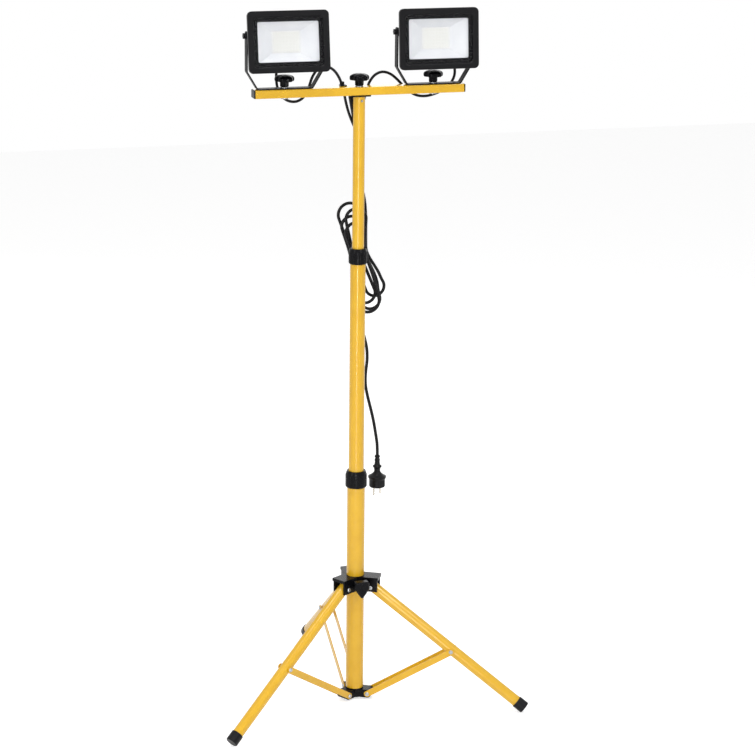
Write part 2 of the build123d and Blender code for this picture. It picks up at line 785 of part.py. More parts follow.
def bezel(lamp):
    """Front frame: sloped window, glass pocket, and a skirt over the housing's rim."""
    mid = Plane(lamp.location * Location((0, -lamp_drop, 0)))
    with BuildPart() as frame:
        with BuildSketch(mid.offset(bezel_back)):
            RectangleRounded(bezel_w, bezel_h, bezel_corner)
        extrude(amount=bezel_front - bezel_back)
        front = frame.faces().sort_by(lambda face: (face.center() - mid.origin).dot(mid.z_dir))[-1]
        fillet(front.edges(), bezel_edge)
        with BuildSketch(mid.offset(bezel_back)):
            RectangleRounded(
                front_w + 2 * slide_gap, front_h + 2 * slide_gap, bezel_corner + slide_gap
            )
        extrude(amount=glass_back - bezel_back, mode=Mode.SUBTRACT)
        with BuildSketch(mid.offset(glass_back)):
            RectangleRounded(glass_w + 2, glass_h + 2, glass_corner + 1)
        extrude(amount=glass_t, mode=Mode.SUBTRACT)
        with BuildSketch(mid.offset(glass_back + glass_t)):
            RectangleRounded(window_w - 2 * lip_slope, window_h - 2 * lip_slope, glass_corner)
        with BuildSketch(mid.offset(bezel_front)):
            RectangleRounded(window_w, window_h, glass_corner + lip_slope)
        loft(mode=Mode.SUBTRACT)
    return frame.part


def reflector(lamp):
    """Thin four-sided funnel from the emitter to the glass."""
    mid = Plane(lamp.location * Location((0, -lamp_drop, 0)))
    top_w = window_w - 2 * reflector_inset
    top_h = window_h - 2 * reflector_inset
    throat_w = board_w - 2 * reflector_t
    throat_h = board_h - 2 * reflector_t
    with BuildPart() as funnel:
        with BuildSketch(mid.offset(board_front)):
            Rectangle(board_w, board_h)
        with BuildSketch(mid.offset(funnel_front)):
            Rectangle(top_w, top_h)
        loft()
        with BuildSketch(mid.offset(board_front)):
            Rectangle(throat_w, throat_h)
        with BuildSketch(mid.offset(funnel_front)):
            Rectangle(top_w - 2 * reflector_t, top_h - 2 * reflector_t)
        loft(mode=Mode.SUBTRACT)
    return funnel.part


def plate(plane, width, height, corner, thickness):
    """Flat rounded plate on a plane."""
    with BuildPart() as flat:
        with BuildSketch(plane):
            RectangleRounded(width, height, corner)
        extrude(amount=thickness)
    return flat.part


for side_name, side in (("left", -1), ("right", 1)):
    tilt = radians(lamp_tilt[side_name])
    lamp_plane = Plane(
        origin=(side * bracket_x, 0, tilt_axis_z),
        x_dir=(1, 0, 0),
        z_dir=(0, -cos(tilt), sin(tilt)),
    )
    middle = Plane(lamp_plane.location * Location((0, -lamp_drop, 0)))

    save(bracket(side * bracket_x), f"{side_name}_bracket")
    save(housing(lamp_plane), f"{side_name}_housing")
    save(bezel(lamp_plane), f"{side_name}_bezel")
    save(
        plate(middle.offset(glass_back), glass_w, glass_h, glass_corner, glass_t),
        f"{side_name}_glass",
    )
    save(reflector(lamp_plane), f"{side_name}_reflector")

    with BuildPart() as led_board:
        with BuildSketch(middle.offset(board_front - board_t)):
            Rectangle(board_w, board_h)
        extrude(amount=board_t)
        with BuildSketch(middle.offset(board_front)):
            Rectangle(emitter_w, emitter_h)
        extrude(amount=emitter_t)
    led_board.part.label = f"{side_name}_led_board"
    export_step(led_board.part, f"parts/{side_name}_led_board.step")

    # hex bolts through the bracket arms into the lugs
    with BuildPart() as pivot_bolts:
        for end in (1, -1):
            head_plane = Plane(
                origin=lamp_plane.from_local_coords((end * (bracket_half + side_gap), 0, 0)),
                x_dir=lamp_plane.z_dir,
                z_dir=lamp_plane.x_dir,
            )
            with BuildSketch(head_plane):
                RegularPolygon(pivot_bolt_head_r, 6)
            extrude(amount=end * pivot_bolt_head_h)
            with BuildSketch(head_plane):
                Circle(pivot_bolt_r)
            extrude(amount=-end * (bracket_half + side_gap - lug_outer + lug_t))
    pivot_bolts.part.label = f"{side_name}_pivot_bolts"
    export_step(pivot_bolts.part, f"parts/{side_name}_pivot_bolts.step")

    # cable gland: hex nut, then a tapered sleeve round the lead
    gland_plane = Plane(
        lamp_plane.location * Location((0, -gland_down, housing_back - gland_boss_h))
    )
    with BuildPart() as gland:
        with BuildSketch(gland_plane):
            RegularPolygon(gland_r, 6)
        extrude(amount=-gland_nut_h)
        with BuildSketch(gland_plane.offset(-gland_nut_h)):
            Circle(gland_r - 1.5)
        with BuildSketch(gland_plane.offset(-gland_len)):
            Circle(lead_r + 1.2)
        loft()
    gland.part.label = f"{side_name}_gland"
    export_step(gland.part, f"parts/{side_name}_gland.step")

# ---------------------------------------------------------------- cable fittings
# Moulded splitter behind the top of the mast: a wedge that joins both leads to the main cable
split_top_z = mast_top_z - 3.0
split_neck_z = split_top_z - split_taper
split_end_z = split_top_z - split_len
with BuildPart() as cable_junction:
    with BuildSketch(Plane(origin=(0, split_y, 0), x_dir=(1, 0, 0), z_dir=(0, -1, 0))):
        with BuildLine():
            Polyline(
                (-split_left, split_top_z),
                (split_right, split_top_z),
                (split_half, split_neck_z),
                (split_half, split_end_z + split_point),
                (split_half - split_point / 2, split_end_z),
                (split_point / 2 - split_half, split_end_z),
                (-split_half, split_end_z + split_point),
                (-split_half, split_neck_z),
                close=True,
            )
        make_face()
    extrude(amount=-split_t)
    chamfer(cable_junction.edges().filter_by(Axis.Z), split_edge)
cable_junction.part.label = "cable_junction"
export_step(cable_junction.part, "parts/cable_junction.step")

# Saddle clip on the bar's rear edge, round the left lead
clip_x, clip_y = -33.0, bar_depth / 2 + lead_r + 2.3
with BuildPart() as cable_clip:
    with BuildSketch(Plane.XY.offset(bar_top_z)):
        with Locations((clip_x, 4.0)):
            Rectangle(14.0, clip_y - 4.0, align=(Align.CENTER, Align.MIN))
    extrude(amount=2.5)
    with BuildSketch(Plane.XY.offset(bar_top_z - 3.0)):
        with Locations((clip_x, clip_y)):
            Circle(lead_r + 2.0)
    extrude(amount=11.0)
    with BuildSketch(Plane.XY.offset(bar_top_z - 3.0)):
        with Locations((clip_x, clip_y)):
            Circle(lead_r + press_gap)
    extrude(amount=11.0, mode=Mode.SUBTRACT)
cable_clip.part.label = "cable_clip"
export_step(cable_clip.part, "parts/cable_clip.step")


# ---------------------------------------------------------------- cables
def cable(name, radius, points):
    """Round cable along a route of straight runs joined by arcs as large as the runs allow."""
    stations = [Vector(*p) for p in points]
    radii = []
    for before, here, after in zip(stations, stations[1:], stations[2:]):
        turn = radians((here - before).get_angle(after - here))
        run = min((here - before).length, (after - here).length)
        radii.append(0.45 * run / tan(turn / 2))
    with BuildLine() as route:
        FilletPolyline(*stations, radius=radii)
    path = route.wire()
    with BuildPart() as tube:
        with BuildSketch(Plane(origin=path @ 0, z_dir=path % 0)):
            Circle(radius)
        sweep(path=path)
    fill = tube.part.volume / (pi * radius**2 * path.length)
    print(f"{name}: length {path.length:.0f}, volume / (section x length) {fill:.4f}")
    print("  radii", [round(r) for r in radii])
    save(tube.part, name)


def lead_exit(side_name):
    """End of a lamp's gland, and a point straight out from it."""
    tilt = radians(lamp_tilt[side_name])
    forward = Vector(0, -cos(tilt), sin(tilt))
    upward = Vector(0, sin(tilt), cos(tilt))
    x = -bracket_x if side_name == "left" else bracket_x
    pivot = Vector(x, 0, tilt_axis_z)
    end = pivot - upward * gland_down + forward * (housing_back - gland_boss_h - gland_len)
    return [end, end - forward * 13.0]


cable("left_lead", lead_r, lead_exit("left") + [
    (-165.8, 44.5, 1466.0), (-167.5, 53.0, 1453.0), (-169.5, 55.0, 1434.0), (-171.0, 50.5, 1414.0),
    (-169.5, 41.0, 1396.0), (-161.5, 31.5, 1380.5), (-146.5, 25.5, 1371.5), (-127.0, 24.0, 1372.5),
    (-111.5, 24.5, 1386.0), (-104.0, 25.0, 1405.0), (-98.0, 25.5, 1424.0), (-86.5, 26.0, 1440.5),
    (-69.0, 25.5, 1447.0), (-52.0, 24.0, 1440.0), (-40.0, 21.5, 1424.0), (-33.0, 20.3, 1406.0),
    (-28.0, 20.6, 1387.0), (-24.5, 19.6, 1368.0), (-19.5, 18.8, 1349.0), (-14.0, 18.5, 1331.0),
    (-9.0, 18.5, 1313.0),
])
cable("right_lead", lead_r, lead_exit("right") + [
    (168.5, 47.5, 1472.3), (178.0, 56.5, 1469.5), (192.0, 60.0, 1465.5), (208.0, 58.5, 1459.0),
    (222.0, 54.0, 1448.0), (229.0, 49.0, 1431.5), (227.5, 43.5, 1413.5), (216.5, 38.0, 1397.0),
    (198.5, 32.5, 1385.5), (178.0, 29.0, 1377.5),
    (156.5, 26.5, 1373.5), (135.5, 24.5, 1376.0), (118.0, 24.0, 1386.0), (103.5, 24.0, 1400.0),
    (90.0, 23.5, 1414.5), (74.5, 22.5, 1427.0), (56.0, 21.5, 1432.0), (38.5, 21.5, 1425.0),
    (26.0, 22.0, 1411.0), (17.5, 21.0, 1394.0), (11.0, 19.0, 1376.0), (8.0, 18.5, 1360.0),
])
split_y_mid = split_y + split_t / 2
cable("main_cable", main_r, [
    (0.0, split_y_mid, split_end_z), (0.0, split_y_mid, 1247.0), (2.5, 26.0, 1220.0),
    (10.0, 38.0, 1195.0), (20.5, 52.0, 1170.0), (30.0, 63.0, 1147.0), (34.0, 67.0, 1110.0),
])

# The hank: several long turns bound at the waist, kept as one body of its outer shape
hank_plane = Plane(origin=(0, hank_front, 0), x_dir=(1, 0, 0), z_dir=(0, -1, 0))
hank_rings = {"top": (4.0, 1107.0, 34.0), "waist": (17.0, 1030.0, 22.5), "foot": (45.0, 921.0, 37.0)}
with BuildPart() as cable_hank:
    for upper, lower in (("top", "waist"), ("waist", "foot")):
        with BuildSketch(hank_plane):
            for x, z, r in (hank_rings[upper], hank_rings[lower]):
                with Locations((x, z)):
                    Circle(r)
            make_hull()
        extrude(amount=-hank_t)
    fillet(cable_hank.faces().filter_by(Axis.Y).edges(), hank_edge)
cable_hank.part.label = "cable_hank"
export_step(cable_hank.part, "parts/cable_hank.step")

cable("cable_tail", main_r, [
    (16.0, 43.5, 905.0), (19.0, 43.5, 870.0), (27.0, 41.0, 840.0), (33.5, 39.0, 812.0),
    (34.0, 38.0, 784.0), (30.0, 37.5, 757.0), (29.5, 37.5, 729.0), (35.5, 37.5, 700.0),
    (43.5, 38.0, 670.0), (50.5, 38.0, 640.0), (55.5, 38.0, 610.0), (59.5, 38.0, 585.0),
    (59.5, 38.0, 562.0),
])

# Strap round the hank's waist; its tongue runs down to a pad on the back of the middle tube
strap_front = hank_front - side_gap - strap_t
strap_top_z = strap_z + strap_w
pad_back = middle_tube_r + 2 * strap_t
with BuildPart() as cable_strap:
    with BuildSketch(Plane.XY.offset(strap_z)):
        with Locations((strap_x, hank_front + hank_t / 2)):
            RectangleRounded(
                strap_room + 2 * strap_t, hank_t + 2 * (side_gap + strap_t), hank_edge + strap_t
            )
            RectangleRounded(strap_room, hank_t + 2 * side_gap, hank_edge, mode=Mode.SUBTRACT)
    extrude(amount=strap_w)
    with BuildSketch(Plane.YZ.offset(tongue_x - strap_w / 2)):
        with BuildLine():
            Polyline(
                (middle_tube_r / 2, pad_z),
                (pad_back, pad_z),
                (pad_back, pad_z + strap_w),
                (strap_front + strap_t, pad_z + 2 * strap_w),
                (strap_front + strap_t, strap_top_z),
                (strap_front, strap_top_z),
                (strap_front, pad_z + 2 * strap_w + strap_t),
                (middle_tube_r / 2, pad_z + strap_w + 2 * strap_t),
                close=True,
            )
        make_face()
    extrude(amount=strap_w)
    with BuildSketch(Plane.XY.offset(pad_z)):
        Circle(middle_tube_r + press_gap)
    extrude(amount=strap_top_z - pad_z, mode=Mode.SUBTRACT)
cable_strap.part.label = "cable_strap"
export_step(cable_strap.part, "parts/cable_strap.step")

# ---------------------------------------------------------------- plug
pin_plane = Plane(
    origin=(plug_x, plug_y, plug_face_z),
    x_dir=(cos(radians(plug_turn)), sin(radians(plug_turn)), 0),
    z_dir=(0, 0, -1),
)
with BuildPart() as plug_body:
    with BuildSketch(Plane(origin=(plug_x, plug_y, plug_face_z), x_dir=(1, 0, 0), z_dir=(0, -1, 0))):
        with BuildLine():
            Polyline(
                (0, 0), (16.5, 0), (18.0, 2.0), (18.0, 17.5), (20.3, 22.0), (20.3, 25.0),
                (12.5, 29.5), (7.5, 35.0), (6.8, 38.5), (7.5, 44.0), (10.0, 47.0), (10.0, 49.0),
                (6.5, 52.0), (5.5, 59.0), (6.1, 61.0), (6.1, 64.5), (4.8, 66.5), (4.8, 68.5),
                (6.1, 70.0), (6.1, 72.0), (5.0, 74.0), (0, 74.0),
                close=True,
            )
        make_face()
    revolve(axis=Axis((plug_x, plug_y, 0), (0, 0, 1)))
    # finger flats either side of the pins' line
    with BuildSketch(pin_plane):
        with Locations((0, 26.0), (0, -26.0)):
            Rectangle(60, 20)
    extrude(amount=-18.0, mode=Mode.SUBTRACT)
    with BuildSketch(pin_plane):
        with GridLocations(pin_pitch, 1, 2, 1):
            Circle(pin_root_r + press_gap)
    extrude(amount=-pin_root, mode=Mode.SUBTRACT)
plug_body.part.label = "plug_body"
export_step(plug_body.part, "parts/plug_body.step")

with BuildPart() as plug_pins:
    with BuildSketch(pin_plane.offset(pin_relief)):
        with GridLocations(pin_pitch, 1, 2, 1):
            Circle(pin_r)
    extrude(amount=pin_len - pin_relief)
    chamfer(plug_pins.faces().sort_by(Axis.Z)[:2].edges(), pin_tip)
    with BuildSketch(pin_plane.offset(-pin_root)):
        with GridLocations(pin_pitch, 1, 2, 1):
            Circle(pin_root_r)
    extrude(amount=pin_root + pin_relief)
plug_pins.part.label = "plug_pins"
export_step(plug_pins.part, "parts/plug_pins.step")
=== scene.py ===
import math

import bpy
from mathutils import Matrix, Vector


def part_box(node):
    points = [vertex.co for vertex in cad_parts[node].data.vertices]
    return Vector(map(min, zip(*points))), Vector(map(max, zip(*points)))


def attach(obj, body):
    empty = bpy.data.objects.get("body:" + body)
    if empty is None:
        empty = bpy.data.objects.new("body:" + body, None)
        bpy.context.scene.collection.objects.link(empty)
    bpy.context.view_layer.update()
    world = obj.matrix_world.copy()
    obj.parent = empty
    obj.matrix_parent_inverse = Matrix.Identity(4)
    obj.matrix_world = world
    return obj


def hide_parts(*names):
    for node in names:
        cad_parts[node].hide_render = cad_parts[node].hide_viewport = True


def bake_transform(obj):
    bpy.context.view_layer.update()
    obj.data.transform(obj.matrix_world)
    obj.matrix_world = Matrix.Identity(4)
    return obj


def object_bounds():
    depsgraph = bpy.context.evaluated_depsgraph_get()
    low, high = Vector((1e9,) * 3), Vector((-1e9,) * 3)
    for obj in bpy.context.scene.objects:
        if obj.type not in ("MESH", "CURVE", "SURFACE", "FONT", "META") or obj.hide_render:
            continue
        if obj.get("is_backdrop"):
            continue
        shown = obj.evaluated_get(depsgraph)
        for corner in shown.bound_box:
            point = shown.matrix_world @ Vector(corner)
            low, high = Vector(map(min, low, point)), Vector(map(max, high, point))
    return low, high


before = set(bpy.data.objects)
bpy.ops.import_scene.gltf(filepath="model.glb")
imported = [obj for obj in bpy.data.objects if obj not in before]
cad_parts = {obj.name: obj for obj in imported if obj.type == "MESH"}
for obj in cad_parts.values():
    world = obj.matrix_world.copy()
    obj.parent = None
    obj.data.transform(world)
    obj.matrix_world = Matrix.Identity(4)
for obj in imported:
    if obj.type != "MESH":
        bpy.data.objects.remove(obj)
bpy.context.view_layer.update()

# ---------------------------------------------------------------- lower hub
# The moulded foot of the mast, glass-filled nylon with three forked arms that carry the struts.
# Moulded in one shot, so every outside edge has a small radius and the skin a fine spark grain.


def let_go():
    """Leave object mode ready and nothing selected."""
    if bpy.context.object and bpy.context.object.mode != "OBJECT":
        bpy.ops.object.mode_set(mode="OBJECT")
    bpy.ops.object.select_all(action="DESELECT")


def hold(piece):
    """Make one piece the only selected and the active one."""
    let_go()
    piece.select_set(True)
    bpy.context.view_layer.objects.active = piece


def round_edges(piece, width, steps=2, angle=32.0):
    """Break the sharp edges of a piece."""
    hold(piece)
    bevel = piece.modifiers.new("edge", "BEVEL")
    bevel.limit_method = "ANGLE"
    bevel.angle_limit = math.radians(angle)
    bevel.width = width
    bevel.segments = steps
    bpy.ops.object.modifier_apply(modifier="edge")


def smooth(piece, angle=34.0):
    """Shade the curved faces smooth, and keep the real corners and the flats flat."""
    hold(piece)
    bpy.ops.object.shade_smooth_by_angle(angle=math.radians(angle))
    flats = piece.modifiers.new("flats", "WEIGHTED_NORMAL")
    flats.keep_sharp = True
    bpy.ops.object.modifier_apply(modifier="flats")


def face_outward(piece):
    """Turn every face of a piece outward."""
    hold(piece)
    bpy.ops.object.mode_set(mode="EDIT")
    bpy.ops.mesh.select_all(action="SELECT")
    bpy.ops.mesh.normals_make_consistent(inside=False)
    bpy.ops.object.mode_set(mode="OBJECT")


def moulding(node, name, edge=0.0, angle=32.0):
    """A welded copy of a CAD solid, its flats joined up and its corners broken."""
    let_go()
    piece = bpy.data.objects.new(name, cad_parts[node].data.copy())
    bpy.context.scene.collection.objects.link(piece)
    hold(piece)
    if piece.data.has_custom_normals:
        bpy.ops.mesh.customdata_custom_splitnormals_clear()
    bpy.ops.object.mode_set(mode="EDIT")
    bpy.ops.mesh.select_all(action="SELECT")
    bpy.ops.mesh.remove_doubles(threshold=2e-6)
    bpy.ops.mesh.normals_make_consistent(inside=False)
    bpy.ops.mesh.dissolve_limited(angle_limit=math.radians(0.6))
    bpy.ops.object.mode_set(mode="OBJECT")
    if edge:
        round_edges(piece, edge, angle=angle)
    smooth(piece)
    return piece


def grained(name, slot, colour, shade, rough, grain, depth,
            metal=0.0, coat=0.0, worn=None, wear=0.0, sheen=0.25):
    """A finish: base colour clouded towards a second tone, scuffs, uneven gloss and a fine relief."""
    material = bpy.data.materials.new(name)
    material.use_nodes = True
    material["slot"] = slot
    tree = material.node_tree
    shader = tree.nodes["Principled BSDF"]
    shader.inputs["Metallic"].default_value = metal
    shader.inputs["Specular IOR Level"].default_value = sheen
    shader.inputs["Coat Weight"].default_value = coat
    shader.inputs["Coat Roughness"].default_value = 0.14
    place = tree.nodes.new("ShaderNodeTexCoord")
    cloud = tree.nodes.new("ShaderNodeTexNoise")
    cloud.inputs["Scale"].default_value = 34.0
    cloud.inputs["Detail"].default_value = 5.0
    tree.links.new(place.outputs["Object"], cloud.inputs["Vector"])
    tones = tree.nodes.new("ShaderNodeValToRGB")
    tones.color_ramp.elements[0].position = 0.34
    tones.color_ramp.elements[0].color = (*shade, 1.0)
    tones.color_ramp.elements[1].position = 0.66
    tones.color_ramp.elements[1].color = (*colour, 1.0)
    tree.links.new(cloud.outputs["Fac"], tones.inputs["Fac"])
    scuff = tree.nodes.new("ShaderNodeTexNoise")
    scuff.inputs["Scale"].default_value = 160.0
    scuff.inputs["Detail"].default_value = 8.0
    scuff.inputs["Distortion"].default_value = 1.4
    tree.links.new(place.outputs["Object"], scuff.inputs["Vector"])
    marks = tree.nodes.new("ShaderNodeMapRange")
    marks.inputs["From Min"].default_value = 0.63
    marks.inputs["From Max"].default_value = 0.74
    marks.inputs["To Max"].default_value = wear
    tree.links.new(scuff.outputs["Fac"], marks.inputs["Value"])
    blend = tree.nodes.new("ShaderNodeMix")
    blend.data_type = "RGBA"
    blend.inputs["B"].default_value = (*(worn or shade), 1.0)
    tree.links.new(marks.outputs["Result"], blend.inputs["Factor"])
    tree.links.new(tones.outputs["Color"], blend.inputs["A"])
    tree.links.new(blend.outputs["Result"], shader.inputs["Base Color"])
    gloss = tree.nodes.new("ShaderNodeMapRange")
    gloss.inputs["From Min"].default_value = 0.3
    gloss.inputs["From Max"].default_value = 0.75
    gloss.inputs["To Min"].default_value = rough - 0.05
    gloss.inputs["To Max"].default_value = rough + 0.09
    tree.links.new(scuff.outputs["Fac"], gloss.inputs["Value"])
    tree.links.new(gloss.outputs["Result"], shader.inputs["Roughness"])
    fine = tree.nodes.new("ShaderNodeTexNoise")
    fine.inputs["Scale"].default_value = grain
    fine.inputs["Detail"].default_value = 3.0
    tree.links.new(place.outputs["Object"], fine.inputs["Vector"])
    relief = tree.nodes.new("ShaderNodeBump")
    relief.inputs["Strength"].default_value = 0.5
    relief.inputs["Distance"].default_value = depth
    tree.links.new(fine.outputs["Fac"], relief.inputs["Height"])
    tree.links.new(relief.outputs["Normal"], shader.inputs["Normal"])
    return material


def fit(piece, body, finish, *nodes):
    """Give a finished piece its finish, its body and the CAD solids that it stands for."""
    piece.data.materials.clear()
    piece.data.materials.append(finish)
    if nodes:
        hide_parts(*nodes)
    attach(piece, body)
    return piece


nylon = grained("nylon_moulding", "black_plastic", colour=(0.004, 0.004, 0.005),
                shade=(0.003, 0.003, 0.004), rough=0.27, grain=1500.0, depth=0.00008,
                worn=(0.016, 0.016, 0.018), wear=0.30, sheen=0.10)
zinc = grained("zinc_plate", "zinc_steel", colour=(0.42, 0.43, 0.44), shade=(0.30, 0.31, 0.32), rough=0.30,
               grain=700.0, depth=0.00004, metal=1.0, worn=(0.26, 0.25, 0.24), wear=0.5, sheen=0.5)

fit(moulding("lower_hub", "lower_hub_moulding", edge=0.0007), "base", nylon, "lower_hub")
fit(moulding("lower_hub_rivets", "lower_hub_pins", edge=0.0003), "base", zinc, "lower_hub_rivets")

# ---------------------------------------------------------------- mast tubes
# Three steel tubes that slide in each other, welded, deburred and powder coated yellow.
# Each is drawn to its own bore, and the coat is thick enough to show a faint orange peel.
yellow = grained("yellow_powder_coat", "yellow_paint", colour=(0.74, 0.430, 0.018),
                 shade=(0.70, 0.395, 0.014), rough=0.19, grain=420.0, depth=0.000015, coat=0.25,
                 worn=(0.62, 0.33, 0.015), wear=0.18, sheen=0.36)


def settle(piece, name):
    """Name a piece and put its place into its mesh."""
    hold(piece)
    piece.name = name
    piece.data.name = name
    bpy.ops.object.transform_apply(location=True, rotation=True, scale=True)
    return piece


def open_tube(name, radius, wall, low, high):
    """A drawn tube standing on the mast axis, both ends open and deburred."""
    let_go()
    bpy.ops.mesh.primitive_cylinder_add(vertices=96, radius=radius, depth=high - low,
                                        end_fill_type="NOTHING", location=(0, 0, (low + high) / 2))
    tube = settle(bpy.context.object, name)
    solid = tube.modifiers.new("wall", "SOLIDIFY")
    solid.thickness = wall
    solid.offset = -1
    bpy.ops.object.modifier_apply(modifier="wall")
    round_edges(tube, width=0.0003, angle=60.0)
    smooth(tube)
    return tube


tube_wall = 0.0015
for node, body in (("lower_tube", "base"), ("middle_tube", "mast_middle"), ("top_tube", "mast_top")):
    low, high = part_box(node)
    radius = (high.x - low.x) / 2
    fit(open_tube(node + "_drawn", radius, tube_wall, low.z, high.z), body, yellow, node)

# Nylon bushes pressed on the inner end of each sliding tube take up the play.
fit(moulding("middle_bush", "middle_glide", edge=0.0003), "mast_middle", nylon, "middle_bush")
fit(moulding("top_bush", "top_glide", edge=0.0003), "mast_top", nylon, "top_bush")

# ---------------------------------------------------------------- legs and feet
# Three coated steel tubes, drilled for the strut rivets, each closed by a pushed-on rubber foot.
# The feet are soft black rubber with a matt skin that picks up dust on its edges.
rubber = grained("foot_rubber", "black_rubber", colour=(0.006, 0.006, 0.007), shade=(0.004, 0.004, 0.005),
                 rough=0.36, grain=900.0, depth=0.00010, worn=(0.022, 0.022, 0.021), wear=0.35, sheen=0.16)
for side in ("rear", "left", "right"):
    body = side + "_leg_body"
    fit(moulding(side + "_leg", side + "_leg_tube", edge=0.0002), body, yellow, side + "_leg")
    fit(moulding(side + "_leg_cap", side + "_foot", edge=0.0008), body, rubber, side + "_leg_cap")

# ---------------------------------------------------------------- struts
# Paired flat bars, punched and coated, that hold each leg out from the foot of the mast.
# Shouldered rivets run through bars and leg, and their heads are formed cold.
for side in ("rear", "left", "right"):
    body = side + "_strut_body"
    fit(moulding(side + "_strut", side + "_strut_bars", edge=0.0003), body, yellow, side + "_strut")
    rivets = moulding(side + "_strut_rivets", side + "_strut_pins", edge=0.0003)
    fit(rivets, body, zinc, side + "_strut_rivets")

# ---------------------------------------------------------------- slide hub and lock
# The runner that the legs hang from, a nylon moulding with three pairs of cheeks under a roof.
# A screw with a shield-shaped grip, moulded on, pinches it to the mast.
fit(moulding("slide_hub", "leg_runner", edge=0.0006), "hub", nylon, "slide_hub")
fit(moulding("hub_rivets", "leg_pins", edge=0.0003), "hub", zinc, "hub_rivets")
fit(moulding("lock_knob", "lock_grip", edge=0.0009), "lock", nylon, "lock_knob")

# ---------------------------------------------------------------- collars
# Each telescopic joint has a slotted collet fixed in the outer tube and a fluted nut round it.
# Turning the nut squeezes the collet on to the inner tube.
for node, name, body in (("lower_collet", "lower_chuck", "base"),
                         ("upper_collet", "upper_chuck", "mast_middle"),
                         ("lower_clamp_nut", "lower_collar", "lower_clamp"),
                         ("upper_clamp_nut", "upper_collar", "upper_clamp")):
    fit(moulding(node, name, edge=0.0004, angle=24.0), body, nylon, node)

# ---------------------------------------------------------------- mast head
# A nylon saddle pushed into the top of the mast, which the crossbar turns on.
# It is moulded like the collars and held by one small zinc screw.
fit(moulding("mast_head", "mast_saddle", edge=0.0006), "mast_top", nylon, "mast_head")
fit(moulding("mast_head_screw", "mast_saddle_screw", edge=0.0002), "mast_top", zinc, "mast_head_screw")

# ---------------------------------------------------------------- crossbar
# A flat-sided steel tube, coated like the mast, with plastic plugs tapped into its ends.
# Three carriage bolts stand up through it for the knobs and brackets.
def pick(piece, kind, wanted):
    """Select, in edit mode, the vertices, edges or faces whose middle is wanted."""
    hold(piece)
    bpy.ops.object.mode_set(mode="EDIT")
    bpy.ops.mesh.select_mode(type={"vertices": "VERT", "edges": "EDGE", "polygons": "FACE"}[kind])
    bpy.ops.mesh.select_all(action="DESELECT")
    bpy.ops.object.mode_set(mode="OBJECT")
    mesh = piece.data
    for element in getattr(mesh, kind):
        if kind == "vertices":
            middle = element.co
        elif kind == "edges":
            middle = (mesh.vertices[element.vertices[0]].co + mesh.vertices[element.vertices[1]].co) / 2
        else:
            middle = element.center
        element.select = bool(wanted(middle))
    bpy.ops.object.mode_set(mode="EDIT")


bar_end = 0.229
end_depth = 0.0006
bar_reach = 0.0022


def stretch_ends(piece):
    """Draw the ends of a bar piece out, so that only a thin rim of the plugs stands proud."""
    for sign in (-1, 1):
        pick(piece, "vertices", lambda place: abs(sign * place.x - bar_end) < end_depth)
        bpy.ops.transform.translate(value=(sign * bar_reach, 0, 0))
    bpy.ops.object.mode_set(mode="OBJECT")
    return piece


bar = stretch_ends(moulding("crossbar_tube", "crossbar"))
round_edges(bar, width=0.0002)
fit(bar, "crossbar", yellow, "crossbar_tube")
plugs = stretch_ends(moulding("crossbar_end_caps", "crossbar_plugs"))
round_edges(plugs, width=0.0005)
fit(plugs, "crossbar", nylon, "crossbar_end_caps")
fit(moulding("bar_bolts", "carriage_bolts", edge=0.0003), "crossbar", zinc, "bar_bolts")

# ---------------------------------------------------------------- star knobs
# Six-lobed phenolic knobs with a crowned top, on a short round hub over a brass thread.
# Compression moulded, so they have a deep gloss and a soft flash line round the lobes.
phenolic = grained("phenolic_gloss", "black_plastic", colour=(0.002, 0.002, 0.003),
                   shade=(0.001, 0.001, 0.002), rough=0.16, grain=260.0, depth=0.00003, coat=0.06,
                   worn=(0.008, 0.008, 0.009), wear=0.2, sheen=0.05)
knob_lobes = 6
knob_columns = 8
knob_column = 2 * math.pi / (knob_lobes * knob_columns)
lobe_radius = 0.022
lobe_steps = (1.0, 0.988, 0.950, 0.888, 0.850)
disc_height, disc_size = 0.0004, 0.93
rim_rings = ((0.0016, 0.975), (0.0046, 1.0), (0.0076, 0.985), (0.0098, 0.92))
crown_rings = ((0.0116, 0.80), (0.0130, 0.62), (0.0140, 0.40), (0.0145, 0.18))
under_rim, stem_size = 0.0025, 0.56
stem_corner, stem_taper = 0.0006, 0.96
knob_height = 0.011


def lobe_step(place):
    """How many columns a point of the knob's rim is from the crest of its lobe."""
    column = round(math.atan2(place.y, place.x) / knob_column) % knob_columns
    return min(column, knob_columns - column)


